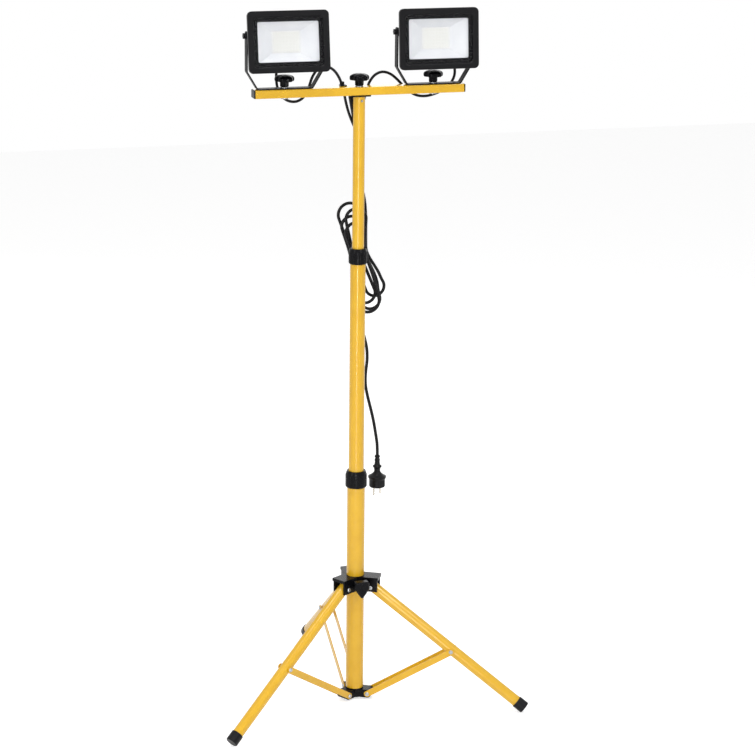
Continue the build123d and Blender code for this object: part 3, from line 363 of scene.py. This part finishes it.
def star_knob(name, x, stem_low, head_low):
    """A lobed, crowned knob on its stem, standing over the bar at x."""
    let_go()
    bpy.ops.mesh.primitive_cylinder_add(vertices=knob_lobes * knob_columns, radius=lobe_radius * disc_size,
                                        depth=disc_height, location=(0, 0, head_low + disc_height / 2))
    knob = settle(bpy.context.object, name)
    for step in range(1, len(lobe_steps)):
        pick(knob, "vertices", lambda place: lobe_step(place) == step)
        bpy.ops.transform.resize(value=(lobe_steps[step], lobe_steps[step], 1), center_override=(0, 0, 0))
    pick(knob, "polygons", lambda place: place.z > head_low + 0.75 * disc_height)
    height, size = disc_height, disc_size
    for ring_height, ring_size in rim_rings + crown_rings:
        bpy.ops.mesh.extrude_region_move(TRANSFORM_OT_translate={"value": (0, 0, ring_height - height)})
        bpy.ops.transform.resize(value=(ring_size / size, ring_size / size, 1), center_override=(0, 0, 0))
        height, size = ring_height, ring_size
    pick(knob, "polygons", lambda place: place.z < head_low + 0.25 * disc_height)
    bpy.ops.mesh.inset(thickness=under_rim, depth=0)
    bpy.ops.transform.resize(value=(stem_size, stem_size, 1), center_override=(0, 0, head_low))
    stem_length = head_low - stem_low - 2 * stem_corner
    for drop, ratio in ((stem_corner, stem_taper), (stem_length, 1.0), (stem_corner, stem_taper)):
        bpy.ops.mesh.extrude_region_move(TRANSFORM_OT_translate={"value": (0, 0, -drop)})
        bpy.ops.transform.resize(value=(ratio, ratio, 1), center_override=(0, 0, head_low))
    face_outward(knob)
    soft = knob.modifiers.new("soft", "SUBSURF")
    soft.levels = 2
    soft.render_levels = 2
    bpy.ops.object.modifier_apply(modifier="soft")
    smooth(knob, angle=60.0)
    knob.data.transform(Matrix.Translation((x, 0, 0)))
    return knob


for node, body in (("centre_knob", "centre_hand_knob"), ("left_knob", "left_hand_knob"),
                   ("right_knob", "right_hand_knob")):
    low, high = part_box(node)
    knob = star_knob(node + "_star", (low.x + high.x) / 2, low.z, high.z - knob_height)
    fit(knob, body, phenolic, node)

# ---------------------------------------------------------------- lamp brackets
# Steel strip, blanked and bent to a stirrup under each lamp, then coated black.
# Its foot is clamped to the bar by the bolt and knob, and its ends carry the tilt screws.
steel_black = grained("black_coated_strip", "black_steel", colour=(0.008, 0.008, 0.009),
                      shade=(0.006, 0.006, 0.007), rough=0.42, grain=520.0, depth=0.00008,
                      worn=(0.03, 0.03, 0.03), wear=0.16, sheen=0.09)
for side in ("left", "right"):
    stirrup = moulding(side + "_bracket", side + "_stirrup", edge=0.0004)
    fit(stirrup, side + "_yoke", steel_black, side + "_bracket")

# ---------------------------------------------------------------- lamp housings
# Die-cast aluminium boxes with a row of cooling fins on the back, powder coated charcoal.
# A rolled frame screws on in front and clamps the glass.
charcoal = grained("charcoal_powder_coat", "charcoal_paint", colour=(0.008, 0.008, 0.009),
                   shade=(0.006, 0.006, 0.007), rough=0.34, grain=820.0, depth=0.00011,
                   worn=(0.022, 0.022, 0.024), wear=0.2, sheen=0.11)
tilt_of = {"left": math.radians(9.0), "right": math.radians(5.0)}
lamp_x = 0.165
pivot_z = 1.519


def lamp_place(side):
    """The matrix from a lamp's own axes, x across, y up its face and z out of it, to the frame."""
    tilt = tilt_of[side]
    sign = -1 if side == "left" else 1
    across = (1, 0, 0)
    up = (0, math.sin(tilt), math.cos(tilt))
    out = (0, -math.cos(tilt), math.sin(tilt))
    place = Matrix((across, up, out)).transposed().to_4x4()
    place.translation = (sign * lamp_x, 0, pivot_z)
    return place


face_drop = -0.015
hair = 1e-5


def slab(name, size, low, high, corner):
    """A flat plate across the lamp's face with rounded corners, in the lamp's own axes."""
    let_go()
    level = (low + high) / 2
    bpy.ops.mesh.primitive_cube_add(size=1, location=(0, face_drop, level), scale=(*size, high - low))
    plate = settle(bpy.context.object, name)
    pick(plate, "edges", lambda place: abs(place.z - level) < hair)
    bpy.ops.mesh.bevel(offset=corner, segments=6, affect="EDGES")
    bpy.ops.object.mode_set(mode="OBJECT")
    return plate


def mount(piece, side):
    """Turn a piece from the lamp's own axes to its place on the bar."""
    piece.data.transform(lamp_place(side))
    return piece


def own_copy(piece, name):
    """A copy with its own mesh."""
    twin = piece.copy()
    twin.data = piece.data.copy()
    twin.name = name
    bpy.context.scene.collection.objects.link(twin)
    return twin


def draw_ring(before, after):
    """Bring the ring of edges that is held from one width and height across the face to another."""
    value = (after[0] / before[0], after[1] / before[1], 1)
    bpy.ops.transform.resize(value=value, center_override=(0, face_drop, 0))


frame_size = (0.176, 0.130)
frame_back, frame_front, frame_throat = 0.032, 0.042, 0.0386
frame_ring = 0.0004
ring_size = (frame_size[0] - 2 * frame_ring, frame_size[1] - 2 * frame_ring)
mouth_size = (0.1535, 0.1075)
throat_size = (0.1480, 0.1020)
rebate_size = (0.1620, 0.1190)
bezel = slab("bezel", frame_size, frame_back, frame_front, corner=0.010)
pick(bezel, "polygons", lambda place: place.z > frame_front - hair)
bpy.ops.mesh.inset(thickness=frame_ring, depth=0)
draw_ring(ring_size, mouth_size)
bpy.ops.mesh.extrude_region_move(TRANSFORM_OT_translate={"value": (0, 0, frame_throat - frame_front)})
draw_ring(mouth_size, throat_size)
bpy.ops.mesh.delete(type="FACE")
pick(bezel, "polygons", lambda place: place.z < frame_back + hair)
bpy.ops.mesh.inset(thickness=frame_ring, depth=0)
draw_ring(ring_size, rebate_size)
bpy.ops.mesh.extrude_region_move(TRANSFORM_OT_translate={"value": (0, 0, frame_throat - frame_back)})
bpy.ops.mesh.delete(type="FACE")
pick(bezel, "edges", lambda place: abs(place.z - frame_throat) < hair)
bpy.ops.mesh.bridge_edge_loops()
face_outward(bezel)
round_edges(bezel, width=0.0013, steps=3, angle=40.0)
smooth(bezel)

for side in ("left", "right"):
    lamp = side + "_lamp"
    fit(moulding(side + "_housing", side + "_casting", edge=0.0004), lamp, charcoal, side + "_housing")
    fit(mount(own_copy(bezel, side + "_frame"), side), lamp, charcoal, side + "_bezel")
    screws = moulding(side + "_pivot_bolts", side + "_tilt_screws", edge=0.0003)
    fit(screws, lamp, steel_black, side + "_pivot_bolts")
    fit(moulding(side + "_gland", side + "_cable_gland", edge=0.0003), lamp, nylon, side + "_gland")

# ---------------------------------------------------------------- lamp faces
# A tempered pane with a black border fired on its back, over a white funnel and the LED board.
# The frame holds the pane by its rim, and funnel and board sit in the casting behind it.
pane_size = (0.158, 0.112)
glass = slab("pane", pane_size, 0.0355, 0.0385, corner=0.004)
round_edges(glass, width=0.0004)
smooth(glass)

border_back, border_front = 0.03525, 0.03545
border_ring = 0.0001
window_size = (0.132, 0.0845)
border = slab("border", pane_size, border_back, border_front, corner=0.0045)
pick(border, "polygons", lambda place: min(abs(place.z - border_back), abs(place.z - border_front)) < hair)
bpy.ops.mesh.inset(thickness=border_ring, depth=0)
draw_ring((pane_size[0] - 2 * border_ring, pane_size[1] - 2 * border_ring), window_size)
bpy.ops.mesh.bridge_edge_loops()
face_outward(border)
smooth(border)

pane_glass = bpy.data.materials.new("tempered_pane")
pane_glass.use_nodes = True
pane_glass["slot"] = "clear_glass"
pane_tree = pane_glass.node_tree
pane_shader = pane_tree.nodes["Principled BSDF"]
pane_shader.inputs["Base Color"].default_value = (0.95, 0.97, 0.98, 1.0)
pane_shader.inputs["Transmission Weight"].default_value = 1.0
pane_shader.inputs["Alpha"].default_value = 0.15
pane_shader.inputs["IOR"].default_value = 1.5
pane_place = pane_tree.nodes.new("ShaderNodeTexCoord")
pane_dust = pane_tree.nodes.new("ShaderNodeTexNoise")
pane_dust.inputs["Scale"].default_value = 45.0
pane_dust.inputs["Detail"].default_value = 6.0
pane_rough = pane_tree.nodes.new("ShaderNodeMapRange")
pane_rough.inputs["From Min"].default_value = 0.4
pane_rough.inputs["From Max"].default_value = 0.8
pane_rough.inputs["To Min"].default_value = 0.01
pane_rough.inputs["To Max"].default_value = 0.06
pane_tree.links.new(pane_place.outputs["Object"], pane_dust.inputs["Vector"])
pane_tree.links.new(pane_dust.outputs["Fac"], pane_rough.inputs["Value"])
pane_tree.links.new(pane_rough.outputs["Result"], pane_shader.inputs["Roughness"])

fired_black = grained("fired_border", "black_plastic", colour=(0.002, 0.002, 0.003),
                      shade=(0.001, 0.001, 0.002), rough=0.30, grain=1200.0, depth=0.000005, sheen=0.1)
reflector_white = grained("white_reflector", "white_reflector", colour=(0.73, 0.74, 0.76),
                          shade=(0.69, 0.70, 0.73), rough=0.32, grain=1100.0, depth=0.00008,
                          worn=(0.66, 0.67, 0.69), wear=0.25, sheen=0.5)
board_white = grained("board_mask", "led_array", colour=(0.80, 0.80, 0.79), shade=(0.77, 0.77, 0.76),
                      rough=0.45, grain=1400.0, depth=0.00006, worn=(0.72, 0.72, 0.70), wear=0.25)
phosphor = grained("led_phosphor", "led_array", colour=(0.78, 0.78, 0.75), shade=(0.76, 0.76, 0.73),
                   rough=0.40, grain=1400.0, depth=0.00005, worn=(0.80, 0.79, 0.70), wear=0.25)

# The LEDs are eight by six small packages on the board, each a low square block with a domed lens.
chip_size, chip_height, chip_level = 0.0062, 0.0008, 0.0147
chip_columns, chip_rows = 8, 6
column_step, row_step = 0.0070, 0.0071
lens_margin, lens_rise = 0.0007, 0.00015
let_go()
first_x = -(chip_columns - 1) / 2 * column_step
first_y = face_drop - (chip_rows - 1) / 2 * row_step
bpy.ops.mesh.primitive_cube_add(size=1, location=(first_x, first_y, chip_level),
                                scale=(chip_size, chip_size, chip_height))
chips = settle(bpy.context.object, "chips")
pick(chips, "polygons", lambda place: place.z > chip_level + chip_height / 2 - hair)
bpy.ops.mesh.inset(thickness=lens_margin, depth=0)
bpy.ops.transform.translate(value=(0, 0, lens_rise))
bpy.ops.object.mode_set(mode="OBJECT")
for count, step in ((chip_columns, (column_step, 0, 0)), (chip_rows, (0, row_step, 0))):
    row = chips.modifiers.new("row", "ARRAY")
    row.count = count
    row.use_relative_offset = False
    row.use_constant_offset = True
    row.constant_offset_displace = step
    bpy.ops.object.modifier_apply(modifier="row")
smooth(chips)

for side in ("left", "right"):
    lamp = side + "_lamp"
    fit(mount(own_copy(glass, side + "_pane"), side), lamp, pane_glass, side + "_glass")
    fit(mount(own_copy(border, side + "_pane_border"), side), lamp, fired_black)
    funnel = moulding(side + "_reflector", side + "_funnel", edge=0.0003)
    fit(funnel, lamp, reflector_white, side + "_reflector")
    fit(moulding(side + "_led_board", side + "_board", edge=0.0002), lamp, board_white, side + "_led_board")
    fit(mount(own_copy(chips, side + "_led_packages"), side), lamp, phosphor)
for master in (bezel, glass, border, chips):
    bpy.data.objects.remove(master)

# ---------------------------------------------------------------- splitter and clip
# The two lamp leads join the supply cable in a flat moulded splitter against the mast.
# A nylon clip on the back of the bar holds the left lead.
low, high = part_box("cable_junction")
middle_x, middle_y = (low.x + high.x) / 2, (low.y + high.y) / 2
head_height, tail_height = 0.065, 0.010
tail_taper = (0.42, 0.85, 1)
neck_x, neck_width = 0.0045, 0.0235
neck_low, neck_high = low.z + tail_height, high.z - head_height
let_go()
bpy.ops.mesh.primitive_cube_add(size=1, location=(neck_x, middle_y, (neck_low + neck_high) / 2),
                                scale=(neck_width, high.y - low.y, neck_high - neck_low))
splitter = settle(bpy.context.object, "cable_splitter")
pick(splitter, "polygons", lambda place: place.z > neck_high - hair)
bpy.ops.mesh.extrude_region_move(TRANSFORM_OT_translate={"value": (middle_x - neck_x, 0, head_height)})
bpy.ops.transform.resize(value=((high.x - low.x) / neck_width, 1, 1), center_override=(middle_x, 0, 0))
pick(splitter, "polygons", lambda place: place.z < neck_low + hair)
bpy.ops.mesh.extrude_region_move(TRANSFORM_OT_translate={"value": (0, 0, -tail_height)})
bpy.ops.transform.resize(value=tail_taper, center_override=(neck_x, middle_y, 0))
face_outward(splitter)
round_edges(splitter, width=0.0022, steps=3, angle=8.0)
smooth(splitter)
fit(splitter, "crossbar", rubber, "cable_junction")
fit(moulding("cable_clip", "lead_clip", edge=0.0003), "crossbar", nylon, "cable_clip")

# ---------------------------------------------------------------- lamp leads
# Two round rubber leads, 6 mm, from the glands to the splitter, with slack for tilting and panning.
# Each is a piece of the same cable, drawn here in two lengths, split where its line drops below a set height.
lead_rubber = grained("cable_rubber", "black_rubber", colour=(0.006, 0.006, 0.007),
                      shade=(0.004, 0.004, 0.005), rough=0.34, grain=1300.0, depth=0.00006,
                      worn=(0.018, 0.018, 0.019), wear=0.3, sheen=0.15)
lead_size = 0.006
mm = 0.001


def cord_line(name, points):
    """The smooth line of a cord through its route, in metres, as one open spline."""
    curve = bpy.data.curves.new(name, "CURVE")
    curve.dimensions = "3D"
    spline = curve.splines.new("NURBS")
    spline.points.add(len(points) - 1)
    for control, (x, y, z) in zip(spline.points, points):
        control.co = (x * mm, y * mm, z * mm, 1)
    spline.order_u = 3
    spline.use_endpoint_u = True
    curve.resolution_u = 10
    line = bpy.data.objects.new(name, curve)
    bpy.context.scene.collection.objects.link(line)
    return line


def line_points(line):
    """The points of a cord's smooth line, read from its spline."""
    bpy.context.view_layer.update()
    mesh = bpy.data.meshes.new_from_object(line)
    points = [vertex.co.copy() for vertex in mesh.vertices]
    bpy.data.meshes.remove(mesh)
    return points


def cord_tube(name, points, size):
    """A round cord as a mesh, swept along the points of its line."""
    let_go()
    curve = bpy.data.curves.new(name, "CURVE")
    curve.dimensions = "3D"
    spline = curve.splines.new("POLY")
    spline.points.add(len(points) - 1)
    for control, place in zip(spline.points, points):
        control.co = (*place, 1)
    curve.bevel_depth = size / 2
    curve.bevel_resolution = 5
    curve.use_fill_caps = True
    tube = bpy.data.objects.new(name, curve)
    bpy.context.scene.collection.objects.link(tube)
    hold(tube)
    bpy.ops.object.convert(target="MESH")
    tube = bpy.context.object
    smooth(tube, angle=60.0)
    return tube


lead_routes = {
    "left": [
        (-165, 19.11, 1473.45), (-165, 31.95, 1471.416), (-165.8, 44.5, 1466), (-167.5, 53, 1453),
        (-169.5, 55, 1434), (-171, 50.5, 1414), (-169.5, 41, 1396), (-161.5, 31.5, 1380.5),
        (-146.5, 25.5, 1371.5), (-127, 24, 1372.5), (-111.5, 24.5, 1386), (-104, 25, 1405),
        (-98, 25.5, 1424), (-86.5, 26, 1440.5), (-69, 25.5, 1447), (-52, 24, 1440), (-40, 21.5, 1424),
        (-33, 20.3, 1406), (-28, 20.6, 1387), (-24.5, 19.6, 1368), (-19.5, 18.8, 1349), (-13, 18.5, 1331),
        (-5, 18.5, 1313),
    ],
    "right": [
        (165, 22.24, 1474.894), (165, 35.191, 1473.761), (168.5, 47.5, 1472.3), (178, 56.5, 1469.5),
        (192, 60, 1465.5), (208, 58.5, 1459), (222, 54, 1448), (229, 49, 1431.5), (227.5, 43.5, 1413.5),
        (216.5, 38, 1397), (198.5, 32.5, 1385.5), (178, 29, 1377.5), (156.5, 26.5, 1373.5),
        (135.5, 24.5, 1376), (118, 24, 1386), (103.5, 24, 1400), (90, 23.5, 1414.5), (74.5, 22.5, 1427),
        (56, 21.5, 1432), (39.5, 21.5, 1425), (29, 22.2, 1411), (22.8, 21.8, 1396), (19.6, 21, 1383),
        (15.2, 19.4, 1369), (11, 18.5, 1354),
    ],
}
lead_split_z = 1.430
for side, route in lead_routes.items():
    line = cord_line(side + "_lead_line", route)
    points = line_points(line)
    bpy.data.objects.remove(line)
    cut = next(i for i, place in enumerate(points) if place.z < lead_split_z)
    upper, lower = points[:cut + 1], points[cut:]
    upper_lead = cord_tube(side + "_lead_upper", upper, lead_size)
    lower_lead = cord_tube(side + "_lead_lower", lower, lead_size)
    for piece in (upper_lead, lower_lead):
        piece.data.materials.clear()
        piece.data.materials.append(lead_rubber)
    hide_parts(side + "_lead")
    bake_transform(upper_lead)
    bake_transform(lower_lead)

# ---------------------------------------------------------------- supply cable, upper run
# One 7 mm rubber cable from the splitter down behind the mast to the hank.
# Its first bend twists when the crossbar swivels, and the rest gives way when the mast slides in.
cable_size = 0.007
main_route = [
    (4.5, 18.5, 1292), (4.6, 19.2, 1280), (5.2, 22, 1268), (6.3, 25.5, 1256), (7.8, 28.5, 1244),
    (9, 31.5, 1232), (10.5, 37, 1217), (13.5, 44, 1202), (19, 52.5, 1184), (26, 61.5, 1164),
    (32.2, 67.8, 1146), (34.2, 68.9, 1131),
]
main_line = cord_line("supply_line", main_route)
main_points = line_points(main_line)
bpy.data.objects.remove(main_line)
twist_z, twist_end_z = 1.274, 1.236
cut = next(i for i, place in enumerate(main_points) if place.z < twist_end_z)
bend_points, drop_points = main_points[:cut + 1], main_points[cut:]
bend = cord_tube("supply_cable_bend", bend_points, cable_size)
drop = cord_tube("supply_cable_drop", drop_points, cable_size)
for piece in (bend, drop):
    piece.data.materials.clear()
    piece.data.materials.append(lead_rubber)
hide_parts("main_cable")
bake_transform(bend)
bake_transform(drop)

# ---------------------------------------------------------------- hank and tail
# The rest of the cable is wound in four long turns behind the mast, nipped at the waist by a strap.
# The last turn lets go in front and hangs down to the plug.
layer_y = (68.9, 61.6, 54.3, 47.0, 39.7)
foot_folds = ((51.0, 952.0, 21.5), (41.5, 923.0, 22.0), (30.0, 937.0, 22.0), (36.5, 918.5, 25.0))
top_folds = ((-8.0, 1117.0, 25.5), (-3.5, 1090.5, 22.0), (7.0, 1105.5, 23.0), (6.5, 1075.0, 22.0))
right_waist = (30.0, 24.5, 15.0, 27.0, 23.5)
bulge = (5.0, 10.0, 1.0, 4.0)
left_waist = (-3.0, -6.0, 0.5, -1.0)
waist_z = 1030.0
fold_points = 5
layer_lean, layer_drop, middle_layer_y = 0.284, 0.27, 44.0
near_waist, near_foot = 0.45, 0.55


def layered(x, y, z):
    """Each layer lies a little right of and below the layer in front of it."""
    depth = y - middle_layer_y
    return x + layer_lean * depth, y, z - layer_drop * depth


def fold(before, after, x, z, radius):
    """The points of one fold, from the run that comes in to the run that goes out, clockwise."""
    angles = []
    for (px, pz), turn in ((before, -1), (after, 1)):
        span = math.hypot(px - x, pz - z)
        angles.append(math.atan2(pz - z, px - x) + turn * math.acos(radius / span))
    first, last = angles
    while last > first:
        last -= 2 * math.pi
    step = (first - last) / fold_points
    lead = radius * math.tan(step / 2)
    reach = radius / math.cos(step / 2)
    around = [(x + radius * math.cos(first) - lead * math.sin(first),
               z + radius * math.sin(first) + lead * math.cos(first))]
    for i in range(fold_points):
        angle = first - step * (i + 0.5)
        around.append((x + reach * math.cos(angle), z + reach * math.sin(angle)))
    around.append((x + radius * math.cos(last) + lead * math.sin(last),
                   z + radius * math.sin(last) - lead * math.cos(last)))
    return around


arrival = ((27.0, 1140.0), (28.9, 1118.0), (29.3, 1086.0), (29.5, 1058.0))
hank_route = [layered(x, layer_y[0], z) for x, z in arrival]
for turn in range(len(foot_folds)):
    back, front = layer_y[turn], layer_y[turn + 1]
    right, left, next_right = right_waist[turn], left_waist[turn], right_waist[turn + 1]
    hank_route.append(layered(right, back, waist_z))
    foot_x, foot_z, foot_radius = foot_folds[turn]
    side_x = near_waist * right + near_foot * (foot_x + foot_radius) + bulge[turn]
    hank_route.append(layered(side_x, back, near_waist * waist_z + near_foot * foot_z))
    for x, z in fold((right, waist_z), (left, waist_z), *foot_folds[turn]):
        hank_route.append(layered(x, back, z))
    hank_route.append(layered(left, (back + front) / 2, waist_z))
    for x, z in fold((left, waist_z), (next_right, waist_z), *top_folds[turn]):
        hank_route.append(layered(x, front, z))
hank_route += [
    layered(23.5, 39.7, waist_z), layered(17.0, 39.7, 985.0), layered(10.0, 39.7, 945.0), (11.0, 39.7, 905.0),
    (18.0, 40.0, 870.0), (27.0, 41.0, 840.0), (33.5, 39.0, 812.0), (34.0, 38.0, 784.0), (30.0, 37.5, 757.0),
    (29.5, 37.5, 729.0), (35.5, 37.5, 700.0), (43.5, 38.0, 670.0), (50.5, 38.0, 640.0), (55.5, 38.0, 610.0),
    (59.5, 38.0, 585.0), (59.5, 38.0, 562.0),
]
hank = cord_line("cable_hank_and_tail", hank_route)
hank_points = line_points(hank)
hank.data.bevel_depth = cable_size / 2
hank.data.bevel_resolution = 5
hank.data.use_fill_caps = True
fit(hank, "mast_middle", lead_rubber, "cable_hank", "cable_tail")

# ---------------------------------------------------------------- strap
# The real strap is a loop of woven hook-and-loop tape round the waist of the hank, with a glued tongue.
# Only the tongue is modelled here, a strip bent down from the waist to its patch on the mast.
tongue_line = ((36.6, 1034.0), (36.6, 1016.0), (32.0, 1004.0), (22.0, 984.0), (18.9, 976.0), (18.3, 962.0))
tongue_width, webbing = 12.0, 1.4
top_y, top_z = tongue_line[0]
let_go()
bpy.ops.mesh.primitive_plane_add(size=tongue_width * mm, rotation=(math.radians(90), 0, 0),
                                 location=(0, top_y * mm, (top_z + tongue_width / 2) * mm))
strap = settle(bpy.context.object, "hank_strap")
pick(strap, "edges", lambda place: place.z < (top_z + 0.5) * mm)
for (y0, z0), (y1, z1) in zip(tongue_line, tongue_line[1:]):
    bpy.ops.mesh.extrude_region_move(TRANSFORM_OT_translate={"value": (0, (y1 - y0) * mm, (z1 - z0) * mm)})
pick(strap, "polygons", lambda place: place.z > (top_z + 0.5) * mm)
bpy.ops.mesh.delete(type="FACE")
face_outward(strap)
solid = strap.modifiers.new("webbing", "SOLIDIFY")
solid.thickness = webbing * mm
solid.offset = 0
bpy.ops.object.modifier_apply(modifier="webbing")
round_edges(strap, width=0.0003)
smooth(strap)
woven = grained("woven_strap", "black_rubber", colour=(0.008, 0.008, 0.009), shade=(0.004, 0.004, 0.005),
                rough=0.75, grain=1700.0, depth=0.0004, worn=(0.02, 0.02, 0.02), wear=0.5, sheen=0.1)
fit(strap, "mast_middle", woven, "cable_strap")

# ---------------------------------------------------------------- plug
# A mains plug with finger flats and a ribbed strain relief, moulded in rubber over the cable's end.
# Its two nickel-plated pins stand in the moulding.
plug = fit(moulding("plug_body", "plug_moulding", edge=0.0005), "mast_middle", lead_rubber, "plug_body")
nickel = grained("nickel_plate", "nickel_pins", colour=(0.66, 0.63, 0.58), shade=(0.52, 0.50, 0.46),
                 rough=0.18, grain=500.0, depth=0.00003, metal=1.0, worn=(0.42, 0.38, 0.30), wear=0.3)
pins = fit(moulding("plug_pins", "plug_blades", edge=0.0002), "mast_middle", nickel, "plug_pins")

# ---------------------------------------------------------------- studio
# A pale floor under six soft lamps, which stand round the object and aren't part of it.
# Two narrow ones and a big one from the left, one above, a small square one from the right, one behind.
let_go()
bpy.ops.mesh.primitive_plane_add(size=14, location=(0, 0, 0))
floor = settle(bpy.context.object, "studio_floor")
sweep = bpy.data.materials.new("studio_sweep")
sweep.use_nodes = True
sweep_tree = sweep.node_tree
sweep_shader = sweep_tree.nodes["Principled BSDF"]
sweep_shader.inputs["Base Color"].default_value = (0.82, 0.82, 0.82, 1.0)
sweep_shader.inputs["Roughness"].default_value = 0.9
sweep_shader.inputs["Specular IOR Level"].default_value = 0.1
sweep_shader.inputs["Emission Color"].default_value = (1.0, 1.0, 1.0, 1.0)


def seen_share(tree):
    """One for rays that show the background, nought for the rest."""
    path = tree.nodes.new("ShaderNodeLightPath")
    total = path.outputs["Is Camera Ray"]
    for name in ("Is Glossy Ray", "Is Transmission Ray"):
        add = tree.nodes.new("ShaderNodeMath")
        add.operation = "MAXIMUM"
        tree.links.new(total, add.inputs[0])
        tree.links.new(path.outputs[name], add.inputs[1])
        total = add.outputs["Value"]
    return total


glow = sweep_tree.nodes.new("ShaderNodeMath")
glow.operation = "MULTIPLY"
glow.inputs[1].default_value = 0.62
sweep_tree.links.new(seen_share(sweep_tree), glow.inputs[0])
sweep_tree.links.new(glow.outputs["Value"], sweep_shader.inputs["Emission Strength"])
floor.data.materials.append(sweep)
floor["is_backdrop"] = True

world = bpy.data.worlds.new("studio_world")
bpy.context.scene.world = world
world.use_nodes = True
world_tree = world.node_tree
background = world_tree.nodes["Background"]
background.inputs["Color"].default_value = (1.0, 1.0, 1.0, 1.0)
level = world_tree.nodes.new("ShaderNodeMapRange")
level.inputs["To Min"].default_value = 0.38
level.inputs["To Max"].default_value = 1.0
world_tree.links.new(seen_share(world_tree), level.inputs["Value"])
world_tree.links.new(level.outputs["Result"], background.inputs["Strength"])


def studio_lamp(name, place, target, width, height, power):
    """A soft box aimed at a point of the object."""
    light = bpy.data.lights.new(name, "AREA")
    light.shape = "RECTANGLE"
    light.size = width
    light.size_y = height
    light.energy = power
    lamp_object = bpy.data.objects.new(name, light)
    bpy.context.scene.collection.objects.link(lamp_object)
    lamp_object.location = place
    lamp_object.rotation_euler = (Vector(target) - Vector(place)).to_track_quat("-Z", "Y").to_euler()


studio_lamp("strip", (-1.10, -3.3, 1.05), (0, 0, 0.85), 0.14, 2.1, 24.0)
studio_lamp("low strip", (-0.50, -1.52, 0.52), (0, 0, 0.52), 0.04, 1.0, 4.5)
studio_lamp("left box", (-3.2, -1.6, 2.2), (0, 0, 0.9), 1.2, 1.8, 30.0)
studio_lamp("top", (-0.4, -0.4, 3.6), (0, 0, 0.8), 1.2, 1.2, 30.0)
studio_lamp("square box", (1.12, -1.80, 2.62), (0, 0, 0.3), 0.36, 0.36, 24.0)
studio_lamp("back box", (1.6, 3.4, 1.9), (0, 0, 0.9), 2.6, 2.6, 24.0)

# ---------------------------------------------------------------- camera
# A long lens a little above the lamps, from the left of the front.
# It is turned from straight ahead, tipped down and rolled by these angles.
heading, pitch, roll = math.radians(15.86), math.radians(15.52), math.radians(0.60)
camera_data = bpy.data.cameras.new("camera")
camera_data.lens = 119.9
camera_data.sensor_width = 36.0
camera = bpy.data.objects.new("camera", camera_data)
bpy.context.scene.collection.objects.link(camera)
ahead = Vector((math.sin(heading) * math.cos(pitch), math.cos(heading) * math.cos(pitch), -math.sin(pitch)))
level_beside = Vector((math.cos(heading), -math.sin(heading), 0))
level_above = level_beside.cross(ahead)
beside = level_beside * math.cos(roll) + level_above * math.sin(roll)
above = level_above * math.cos(roll) - level_beside * math.sin(roll)
camera.matrix_world = Matrix((beside, above, -ahead)).transposed().to_4x4()
camera.location = (-1.4197, -5.1634, 2.2448)
bpy.context.scene.camera = camera
bpy.context.scene.view_settings.view_transform = "Standard"

low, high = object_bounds()
